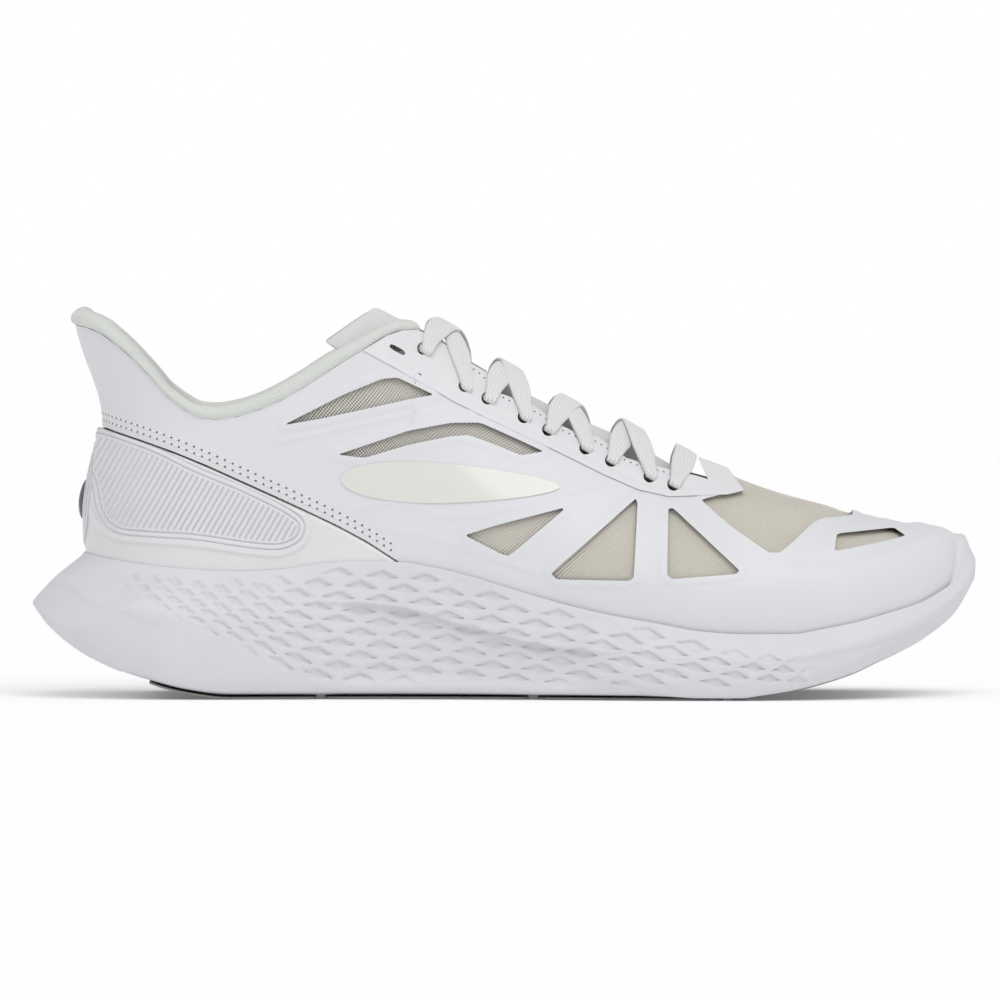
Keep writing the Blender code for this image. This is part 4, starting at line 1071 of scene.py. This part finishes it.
clip = grid_object("heel_clip_shell", 760, 126, clip_place, clip_plastic)
face_out(clip)
flat = np.empty(len(clip.data.vertices) * 3)
clip.data.vertices.foreach_get("co", flat)
# The groove mask is stored on the clip so that its material paints shade into the grooves.
_, groove = clip_relief(flat.reshape(-1, 3) / MM)
clip.data.attributes.new("groove", "FLOAT", "POINT").data.foreach_set("value", groove)
give(clip, "shoe", "heel_clip", slot="moulded_tpu")


# %% The reflective tab
def tab_place(u, v):
    around = 2 * np.pi * u
    reach = np.sin(v * np.pi / 2)
    z = TAB_Z + TAB_TALL * np.sin(around) * reach
    y = TAB_WIDE * np.cos(around) * reach
    return np.stack([heel_back(z) - 1.0 - 2.0 * np.cos(v * np.pi / 2) ** 0.7, y, z], -1)


tab = grid_object("heel_reflector", 48, 12, tab_place, tape, wrap=True)
give(tab, "shoe", "reflective_tab", slot="reflective_tape")

# %% [markdown]
# ## The glossy leaf on each side
# A printed film in a plain leaf shape shines more than the cage around it. It is a thin
# sheet cut with its own outline.

# %% Leaves
leaf = []
for k in range(64):
    angle = 2 * math.pi * k / 64
    along, across = 36 * math.cos(angle), 6.2 * math.sin(angle) * (1 - 0.35 * math.cos(angle))
    leaf.append((-17 + along * 0.97 - across * 0.1, 69 - along * 0.03 + across))
leaf_knife = knife("leaf_knife", [leaf])
for side in (LATERAL, MEDIAL):
    patch = sheet("leaf_" + SIDE_NAMES[side], 130, 90,
                  over_shoe(-0.42, side * 0.32, side * 0.57), gloss, 0.4, leaf_knife)
    give(patch, "shoe", "side_patch_" + SIDE_NAMES[side], slot="gloss_film")


# %% [markdown]
# ## Padded collar and tongue
# Both are foam with a knit or textile cover. Each is swept: one closed section, rounded on
# every corner, is carried along the foot opening or along the throat while its size changes.

# %% Smooth loops and sweeps
def smooth_through(keys, t, closed=False):
    """A rounded line through key points; t counts the keys. keys is (n, ..., 3)."""
    keys = np.asarray(keys, float)
    count = len(keys)
    t = np.asarray(t, float)
    if not closed:
        t = np.clip(t, 0, count - 1 - 1e-9)
    i = np.floor(t).astype(int)
    f = (t - i).reshape(t.shape + (1,) * (keys.ndim - 1))

    def pick(k):
        return keys[k % count] if closed else keys[np.clip(k, 0, count - 1)]

    p0, p1, p2, p3 = pick(i - 1), pick(i), pick(i + 1), pick(i + 2)
    return p1 + f / 2 * (p2 - p0 + f * (2 * p0 - 5 * p1 + 4 * p2 - p3
                                       + f * (3 * (p1 - p2) + p3 - p0)))


ROLL_SECTION = [
    (0.0, 0.15, -0.1), (0.4, 0.0, -1.2), (0.85, 0.0, -0.3), (1.0, 0.0, 2.2),
    (0.8, 0.0, 4.8), (0.1, 0.0, 7.0), (0.0, -8.0, 8.6), (0.0, -16.0, 8.0),
    (0.0, -22.0, 5.6), (0.0, -24.0, 4.2), (0.0, -10.0, 4.1), (0.0, -0.6, 2.6),
]
ROLL_CORE = 4.2  # only what lies deeper than this grows and shrinks along the opening
roll_height = curve([(-140, 4.5), (-120, 4.6), (-100, 4.4), (-60, 5), (-40, 4), (-24, 2.4)])
roll_depth = curve([(-140, 1.0), (-70, 1.0), (-50, 0.8), (-38, 0.35), (-22, 0.1)])
roll_drop = curve([(-140, 1.0), (-75, 1.0), (-50, 0.5), (-38, 0.25), (-22, 0.12)])
collar_end = float(turn_at(1, -25.5, 117))


def collar_place(u, v):
    turn = (2 * u[:, 0] - 1) * collar_end
    edge = np.full(turn.shape, 118.0)
    for _ in range(8):
        edge = topline_z(foot_surface(turn, rise_at(turn, edge))[..., 0])
    x = foot_surface(turn, rise_at(turn, edge))[..., 0]
    keys = []
    for share, height, depth in ROLL_SECTION:
        z = edge + share * roll_height(x) + height * (roll_drop(x) if height < 0 else 1)
        deep = np.full(x.shape, depth)
        if depth > ROLL_CORE:
            deep = ROLL_CORE + (depth - ROLL_CORE) * roll_depth(x)
        rise = rise_at(turn, z)
        point = layer_point(turn, rise, deep)
        top = foot_surface(turn, 1.0)[..., 2]
        point[..., 2] += np.maximum(z - top, 0)
        keys.append(point)
    loop = np.moveaxis(smooth_through(np.stack(keys), v[0] * len(keys), closed=True), 0, 1)
    end = np.clip(np.minimum(u, 1 - u) / 0.014, 0, 1)[..., None]
    middle = loop.mean(1, keepdims=True)
    return middle + (loop - middle) * np.sqrt(1 - (1 - end) ** 2)


collar = grid_object("collar_roll", 420, 84, collar_place, knit, wrap=True)
give(collar, "shoe", "collar", slot="collar_knit")

TONGUE_PATH = [(71, 66.8), (62.5, 70), (54, 74), (42, 81), (21.4, 90), (5.4, 98), (-8, 105.2),
               (-20, 112.3), (-32, 120), (-42, 125.3)]
tongue_x, tongue_z, tongue_half, tongue_drop, tongue_sweep, tongue_thick = (
    curve(list(enumerate(row))) for row in (
        [x for x, _ in TONGUE_PATH], [z for _, z in TONGUE_PATH],
        [14, 15.5, 15.5, 15.5, 15.5, 16, 16.5, 17.5, 19, 20],
        [4.5, 5.5, 9, 14, 17.5, 19.5, 20.5, 22, 23, 22],
        [0, 0, 0, 0, 0, 0, 0, 1, 4, 8],
        [2.2, 2.6, 3.2, 4, 4.5, 4.5, 4.5, 4.6, 4.8, 4.6]))


def tongue_place(u, v):
    last = len(TONGUE_PATH) - 1
    t, angle = u * last, 2 * np.pi * v
    before, after = np.maximum(t - 0.1, 0), np.minimum(t + 0.1, last)
    x0, x1, z0, z1 = tongue_x(before), tongue_x(after), tongue_z(before), tongue_z(after)
    size = np.hypot(x1 - x0, z1 - z0)
    ax, az = (x1 - x0) / size, (z1 - z0) / size
    across = -np.cos(angle)
    hump = np.sign(np.sin(angle)) * np.abs(np.sin(angle)) ** 0.6
    edge = np.abs(across) ** 2.1
    drop = tongue_drop(t) * (0.58 + 0.16 * smooth_step(t, 5, 8))
    ends = np.sqrt(np.clip(1 - (1 - np.clip((last - t) / 0.28, 0, 1)) ** 2, 0.0, 1))
    corner = np.sqrt(1 - (1 - np.clip((last - t) / 0.75, 0, 1)) ** 2)
    half = tongue_half(t) * (0.72 + 0.28 * corner)
    body = tongue_thick(t) * (1 - 0.45 * across ** 6) * (0.12 + 0.88 * ends)
    sink = (tongue_thick(t) - body) / 2 + body * (0.5 - 0.5 * hump)
    slope = 2.1 * np.abs(across) ** 1.1 * drop / half * np.sign(across)
    length = np.sqrt(1 + slope ** 2)
    sweep = tongue_sweep(t) * edge
    return np.stack([
        tongue_x(t) + ax * sweep - az * (drop * edge + sink / length),
        half * across - sink * slope / length,
        tongue_z(t) + az * sweep + ax * (drop * edge + sink / length),
    ], -1)


tongue = grid_object("tongue_pad", 220, 96, tongue_place, tongue_cloth, wrap=True)
give(tongue, "tongue", "tongue", slot="tongue_cloth")

# %% [markdown]
# ## Inside the shoe
# The removable insole lies on a stitched board. A stiff counter cups the heel and a puff
# holds up the toe. They are slabs and sheets that follow the same foot shape.


# %% Slabs under the foot
def rounded_slab(x0, x1, low, high, edges, dish=0.0, corner=0.55):
    """Placement for a closed plate, its section a flat rounded loop."""
    def place(u, v):
        x = x0 + (x1 - x0) * eased(u)
        angle = 2 * np.pi * v
        across = -np.sign(np.cos(angle)) * np.abs(np.cos(angle)) ** corner
        up = np.sign(np.sin(angle)) * np.abs(np.sin(angle)) ** corner
        y0, y1 = edges(x)
        y = (y0 + y1) / 2 + (y1 - y0) / 2 * across
        lift = dish * np.abs(across) ** 4
        z = (low(x) + high(x)) / 2 + (high(x) - low(x)) / 2 * up + lift * (0.875 + 0.125 * up)
        return np.stack([x, y, z], -1)
    return place


def inner_edges(clear, above=0.0):
    def edges(x):
        z = feather_z(x) + above
        return tuple(side * np.maximum(upper_half(side, x, z) - clear, 1.5) + toe_shift(x)
                     for side in (LATERAL, MEDIAL))
    return edges


insole = grid_object("insole", 170, 72, rounded_slab(
    -126, 137, lambda x: footbed_z(x) + 2.0, lambda x: footbed_z(x) + 6.2,
    inner_edges(7.6, 3.0), 3.0), insole_cloth, wrap=True)
give(insole, "sockliner", "sockliner", slot="lining_cloth")

board = Look("fibre_board", (0.62, 0.59, 0.52), 0.85)
board.drift(400.0, (0.55, 0.52, 0.45), (0.7, 0.67, 0.6), 5.0)
board.bump(board.noise(900.0, 4.0), 0.3, 0.1)
strobel = grid_object("insole_board", 110, 40, rounded_slab(
    -125, 139, lambda x: footbed_z(x) + 0.3, lambda x: footbed_z(x) + 1.7,
    inner_edges(6.2)), board, wrap=True)
give(strobel, "shoe", "strobel_board", slot="board")

counter_knife = knife("counter_knife", [[(BACK, DEEP), (-72.3, DEEP), (-72.3, 62), (BACK, 84)]])
puff_knife = knife("puff_knife", [[(114, DEEP), (142, DEEP), (142, TALL), (114, TALL)]])
for name, node, depth, thickness, blade in (
        ("heel_stiffener", "heel_counter", 1.45, 1.0, counter_knife),
        ("toe_stiffener", "toe_puff", 2.75, 0.35, puff_knife)):
    stiffener = sheet(name, 240, 40, over_shoe(depth), board, thickness, blade, wrap=True)
    give(stiffener, "shoe", node, slot="board")


# %% [markdown]
# ## Rubber under the sole
# Pads of grey rubber are glued under the foam where it wears. Grooves part them so that the
# sole can flex. Each pad gets fine cross ridges for grip.

# %% Tread pads
GROOVE, PAD_INSET = 3.0, 6.5
for label, x0, x1, sides in (("heel", -113, -60, (-1, 1)), ("waist", -57, 8, (-1,)),
                             ("ball", 11, 70, (-1, 1)), ("toe", 73, 126, (-1, 1))):
    for side in sides:
        def edges(x, side=side, x0=x0, x1=x1):
            half = sole_half(side, x, PAD_INSET)
            corner = end_round(x - x0 + 1.5, 6, 2) * end_round(x1 + 1.5 - x, 6, 2)
            outer = GROOVE + (half - GROOVE) * (0.8 + 0.2 * corner)
            low, high = sorted((side * GROOVE, side * outer), key=lambda row: np.mean(row))
            return low + toe_shift(x), high + toe_shift(x)

        flat_pad = rounded_slab(x0, x1, sole_z, lambda x: sole_z(x) + TREAD - 0.3, edges,
                                corner=0.35)

        def treaded(u, v, flat_pad=flat_pad):
            points = flat_pad(u, v)
            wave = np.cos(2 * np.pi * points[..., 0] / 3.2 + 0.35 * points[..., 1])
            under = smooth_step(-np.sin(2 * np.pi * v), 0.55, 0.95)
            points[..., 2] += 0.28 * smooth_step(wave, 0.0, 0.6) * under
            return points

        pad = grid_object("tread_%s_%s" % (label, SIDE_NAMES[side]), 150, 72, treaded, rubber,
                          wrap=True)
        give(pad, "shoe", "outsole_%s_%s" % (label, SIDE_NAMES[side]), slot="outsole_rubber")


# %% [markdown]
# ## The lace
# One flat woven lace runs through all eighteen eyelets. A strap crosses the tongue, dives
# through an eyelet, passes under the stay and comes up at the next. The band is swept along
# that path: wide and flat over the tongue, gathered to a cord where it passes an eyelet.

# %% The path of the lace
LACE_WIDE, LACE_THICK, GATHERED = 7.8, 1.3, (3.7, 2.1)
LACE_OUT, LACE_UNDER, LACE_CROSS = -1.1, 4.4, 1.0


def eyelet_point(side, number, depth):
    x, z = EYELETS[number]
    if depth < 0:
        return on_side(side, x, z, depth)
    face = on_side(side, x, z, 0.0)
    slope = max(abs((face - on_side(side, x, z, 1.0))[1]), 0.3)
    return face - np.array([0, side * depth / slope, 0])


def over_throat(x, y, depth):
    """A point over the instep at (x, y), depth inside the outer surface."""
    side = LATERAL if y < 0 else MEDIAL
    low, high = float(widest_z(x)), float(ridge_z(x))
    for _ in range(30):
        z = (low + high) / 2
        wide = float(upper_half(np.array(float(side)), np.array(x), np.array(z)))
        low, high = (z, high) if wide > abs(y - float(toe_shift(x))) else (low, z)
    point = on_side(side, x, low, 0.0)
    turn, rise = find_side(side, x, low)
    normal = foot_normal(turn, rise)
    flat = min(abs(y) / 6, 1)
    normal[1] *= flat
    normal /= np.linalg.norm(normal)
    point[1] = y
    return point - normal * depth


LACING = [
    ((-1, 0), (1, 1), 1), ((1, 2), (-1, 3), 1), ((-1, 4), (1, 5), 1),
    ((1, 6), (-1, 7), 1), ((-1, 8), (1, 8), 0), ((1, 7), (-1, 6), 0),
    ((-1, 5), (1, 4), 0), ((1, 3), (-1, 2), 0), ((-1, 1), (1, 0), 0),
]
lace_points, lace_sizes = [], []


def lay(point, wide, thick):
    lace_points.append(point)
    lace_sizes.append((wide, thick))


for depth in (3.0, 1.2):
    lay(eyelet_point(LATERAL, 0, depth), *GATHERED)
for number, ((side0, hole0), (side1, hole1), over) in enumerate(LACING):
    first, last = eyelet_point(side0, hole0, LACE_OUT), eyelet_point(side1, hole1, LACE_OUT)
    for i in range(11):
        s = i / 10
        x, y = first[0] + (last[0] - first[0]) * s, first[1] + (last[1] - first[1]) * s
        lift = over * LACE_CROSS * math.sin(math.pi * s) ** 2 if hole0 != hole1 else 0.0
        x += 3.6 * math.sin(math.pi * s) if hole0 == hole1 else 0.0
        flat = min(1.0, 4.5 * min(s, 1 - s))
        lay(over_throat(x, y, LACE_OUT - lift),
            GATHERED[0] + (LACE_WIDE - GATHERED[0]) * flat,
            GATHERED[1] + (LACE_THICK - GATHERED[1]) * flat)
    if number + 1 < len(LACING):
        under_hole = LACING[number + 1][0][1]
        for depth in (1.4, 5.2):
            lay(eyelet_point(side1, hole1, depth), *GATHERED)
        lay((eyelet_point(side1, hole1, LACE_UNDER)
             + eyelet_point(side1, under_hole, LACE_UNDER)) / 2, *GATHERED)
        for depth in (5.2, 1.4):
            lay(eyelet_point(side1, under_hole, depth), *GATHERED)
for depth in (1.2, 3.0):
    lay(eyelet_point(MEDIAL, 0, depth), *GATHERED)
lace_points, lace_sizes = np.array(lace_points), np.array(lace_sizes)
print("laced run", round(float(np.linalg.norm(np.diff(lace_points, axis=0), axis=1).sum())), "mm")


# %% Sweeping a flat band
def band(points, sizes, across, square=0.55):
    """Placement for a band along points; across is the direction of its width."""
    def place(u, v):
        t = u[:, 0] * (len(points) - 1)
        middle = smooth_through(points, t)
        size = smooth_through(sizes, t)
        tangent = np.gradient(middle, axis=0)
        tangent /= np.maximum(np.linalg.norm(tangent, axis=1, keepdims=True), 1e-9)
        side = across(t) - tangent * (across(t) * tangent).sum(1, keepdims=True)
        side /= np.linalg.norm(side, axis=1, keepdims=True)
        up = np.cross(tangent, side)
        angle = 2 * np.pi * v[0]
        wide = np.sign(np.cos(angle)) * np.abs(np.cos(angle)) ** square
        tall = np.sign(np.sin(angle)) * np.abs(np.sin(angle)) ** square
        return (middle[:, None] + side[:, None] * (size[:, :1, None] / 2 * wide[None, :, None])
                + up[:, None] * (size[:, 1:, None] / 2 * tall[None, :, None]))
    return place


lace = grid_object("lace_band", 1500, 28, band(
    lace_points, lace_sizes, lambda t: np.tile([0.87, 0.0, -0.5], (len(t), 1))),
    lace_weave, wrap=True)
give(lace, "shoe", "lace_run", slot="lace_fabric")

# %% [markdown]
# ## The loose ends
# Nothing of the lace hangs outside, so its two ends go down into the shoe and lie on the
# insole, each with a clear tip. Each end is a flat band of its own, held at the eyelet.

# %% Ends and tips
TAIL_LONG, TIP_LONG = 190.0, 22.0
for side in (LATERAL, MEDIAL):
    name = SIDE_NAMES[side]
    keys = [eyelet_point(side, 0, 5.6)] + [
        on_side(side, x, z, depth)
        for x, z, depth in ((-27.5, 103, 5.5), (-29, 88, 5.5), (-29.5, 68, 6.0), (-26, 48, 9.0))
    ] + [np.array([x, side * y, float(footbed_z(x)) + 9.1])
         for x, y in zip((-12, 12, 40, 68, 96, 122), (17, 13, 17, 12, 15, 9))]
    axes = [curve(list(enumerate(column))) for column in np.array(keys).T]
    t = np.linspace(0, len(keys) - 1, 1200)
    fine = np.stack([axis(t) for axis in axes], -1)
    run = running(np.linalg.norm(np.diff(fine, axis=0), axis=1))
    want = np.linspace(0, TAIL_LONG, 121)
    path = np.stack([np.interp(want, run, fine[:, i]) for i in range(3)], -1)
    on_floor = smooth_step(want, 45, 85)[:, None]
    flat_normal = (np.array([[0.0, side, 0.12]]) * (1 - on_floor)
                   + np.array([[0.0, 0.0, 1.0]]) * on_floor)
    heading = np.gradient(path, axis=0)
    width_way = np.cross(heading, flat_normal)
    width_way /= np.linalg.norm(width_way, axis=1, keepdims=True)
    narrow = smooth_step(want, 0, 12) * smooth_step(TAIL_LONG - want, 0, 8)
    sizes = np.stack([2.8 + 2.2 * narrow, 1.9 - 0.5 * narrow], -1)
    tail = grid_object("lace_end_" + name, 420, 20, band(
        path, sizes, lambda t, way=width_way: smooth_through(way, t)), lace_weave, wrap=True)
    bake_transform(tail)
    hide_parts("lace_tail_" + name)
    heading = path[-1] - path[-2]
    heading /= np.linalg.norm(heading)
    tip_path = path[-1] + heading * np.linspace(-1.5, TIP_LONG, 12)[:, None]
    tip_sizes = np.stack([np.linspace(3.2, 2.5, 12)] * 2, -1)
    tip_sizes[0] *= 0.86
    tip_sizes[-1] *= 0.7
    tip = grid_object("lace_tip_" + name, 60, 20, band(
        tip_path, tip_sizes, lambda t: np.tile([0.0, 1.0, 0.0], (len(t), 1)), 1.0),
        aglet_film, wrap=True)
    give(tip, "sockliner", "aglet_" + name, slot="aglet_plastic")


# %% [markdown]
# ## Seams
# Two rows of thread run above the edge of the quarter, and one row follows each stay. Every
# stitch is a short rod of thread that dips into a needle hole at either end, and each hole
# is a small dark disc of painted shade.


# %% Stitches
def spaced(line, pitch):
    """Points along a side-view line, pitch millimetres apart."""
    line = np.array(line, float)
    run = running(np.hypot(*np.diff(line, axis=0).T))
    where = np.arange(pitch / 2, run[-1], pitch)
    return np.stack([np.interp(where, run, line[:, i]) for i in range(2)], -1)


def beside(line, gap):
    """A side-view line moved to its left by gap."""
    line = np.array(line, float)
    way = np.gradient(line, axis=0)
    way /= np.linalg.norm(way, axis=1, keepdims=True)
    return line + np.stack([-way[:, 1], way[:, 0]], -1) * gap


def side_marks(line, pitch, depth):
    """Needle marks, and the cloth's normals there, along a side-view line on both sides."""
    spots = spaced(line, pitch)
    for side in (LATERAL, MEDIAL):
        turn, rise = find_side(side, spots[:, 0], spots[:, 1])
        yield layer_point(turn, rise, np.full(turn.shape, depth)), foot_normal(turn, rise)


def edge_marks(gap, pitch, depth):
    """Needle marks that run round the heel, gap above the quarter's edge."""
    turn = np.linspace(-clip_end, clip_end, 4000)
    z = np.full(turn.shape, 80.0)
    for _ in range(10):
        z = panel_edge_z(foot_surface(turn, rise_at(turn, z))[..., 0]) + gap
    points = layer_point(turn, rise_at(turn, z), np.full(turn.shape, depth))
    run = running(np.linalg.norm(np.diff(points, axis=0), axis=1))
    pick = np.searchsorted(run, np.arange(pitch, run[-1], pitch))
    yield points[pick], foot_normal(turn[pick], rise_at(turn, z)[pick])


def sew(name, rows, thick=0.42):
    """A rod of thread between neighbouring marks, and a dark disc of painted shade for the
    needle hole at each mark.
    """
    rods, hole_shades = bmesh.new(), bmesh.new()
    for spots, normals in rows:
        for first, last, normal in zip(spots[:-1], spots[1:], normals):
            way, up = Vector(last - first), Vector(normal)
            rod = bmesh.ops.create_uvsphere(rods, u_segments=8, v_segments=6, radius=0.5 * MM)
            bmesh.ops.scale(rods, verts=rod["verts"], vec=(way.length * 0.78, thick, thick))
            turned = way.to_track_quat("X", "Z").to_matrix().to_4x4()
            bmesh.ops.transform(rods, verts=rod["verts"], matrix=turned)
            bmesh.ops.translate(rods, verts=rod["verts"],
                                vec=Vector((first + last) / 2) * MM)
            dot = bmesh.ops.create_circle(hole_shades, cap_ends=True, segments=8, radius=0.32 * MM)
            faced = up.to_track_quat("Z", "Y").to_matrix().to_4x4()
            bmesh.ops.transform(hole_shades, verts=dot["verts"], matrix=faced)
            bmesh.ops.translate(hole_shades, verts=dot["verts"], vec=(Vector(first) + up * 0.07) * MM)
    for piece_name, bm, look in ((name, rods, thread), (name + "_hole_shades", hole_shades, needle_hole_shade)):
        mesh = bpy.data.meshes.new(piece_name)
        bm.to_mesh(mesh)
        bm.free()
        mesh.polygons.foreach_set("use_smooth", np.ones(len(mesh.polygons), bool))
        give(link(piece_name, mesh, look), "shoe", slot="lace_fabric")


SEAM_ROWS, SEAM_STITCH, THROAT_STITCH = (2.4, 4.5), 2.7, 2.2
sew("quarter_seam", [row for gap in SEAM_ROWS for row in edge_marks(gap, SEAM_STITCH, -0.05)])
throat_line = beside(rounded_line(THROAT[1:11], 2), -1.6)
sew("throat_seam", [*side_marks(throat_line, THROAT_STITCH, -0.45)], 0.36)

# %% [markdown]
# ## Floor, light and camera
# The shoe stands on a pale floor in soft studio light. The camera looks square at the
# lateral side through a long lens, a touch above the floor.

# %% Stage
bm = bmesh.new()
bmesh.ops.create_grid(bm, x_segments=1, y_segments=1, size=6)
floor_mesh = bpy.data.meshes.new("floor")
bm.to_mesh(floor_mesh)
bm.free()
paper = Look("floor_paper", (0.96, 0.96, 0.96), 0.8, Emission_Color=(1, 1, 1, 1),
             Emission_Strength=0.09)
paper.drift(8.0, (0.95, 0.95, 0.95), (0.97, 0.97, 0.97))
floor = link("floor", floor_mesh, paper)

world = bpy.data.worlds.new("studio")
bpy.context.scene.world = world
world.use_nodes = True
dome = world.node_tree.nodes["Background"]
dome.inputs["Color"].default_value = (1, 1, 1, 1)
seen = world.node_tree.nodes.new("ShaderNodeLightPath")
strength = world.node_tree.nodes.new("ShaderNodeMapRange")
world.node_tree.links.new(seen.outputs["Is Camera Ray"], strength.inputs["Value"])
world.node_tree.links.new(strength.outputs["Result"], dome.inputs["Strength"])
strength.inputs["To Min"].default_value = 0.66
strength.inputs["To Max"].default_value = 1.0
sun_data = bpy.data.lights.new("soft_key", "SUN")
sun_data.energy, sun_data.angle = 1.15, math.radians(50)
sun = bpy.data.objects.new("soft_key", sun_data)
bpy.context.scene.collection.objects.link(sun)
sun.rotation_mode = "QUATERNION"
sun.rotation_quaternion = Vector((-0.16, 0.54, -0.83)).to_track_quat("-Z", "Y")

lens = bpy.data.cameras.new("camera")
lens.lens, lens.sensor_width = 600, 36
lens.clip_start, lens.clip_end = 0.05, 50
camera = bpy.data.objects.new("camera", lens)
bpy.context.scene.collection.objects.link(camera)
aim = Vector((-0.0011, -0.02, 0.0632))
tilt, reach = math.radians(1.5), 5.334
camera.location = aim + Vector((0, -math.cos(tilt), math.sin(tilt))) * reach
camera.rotation_mode = "QUATERNION"
camera.rotation_quaternion = (aim - camera.location).to_track_quat("-Z", "Y")
bpy.context.scene.camera = camera
bpy.context.scene.view_settings.view_transform = "Standard"
print("camera stands", reach, "m away, with a lens of", lens.lens, "mm")
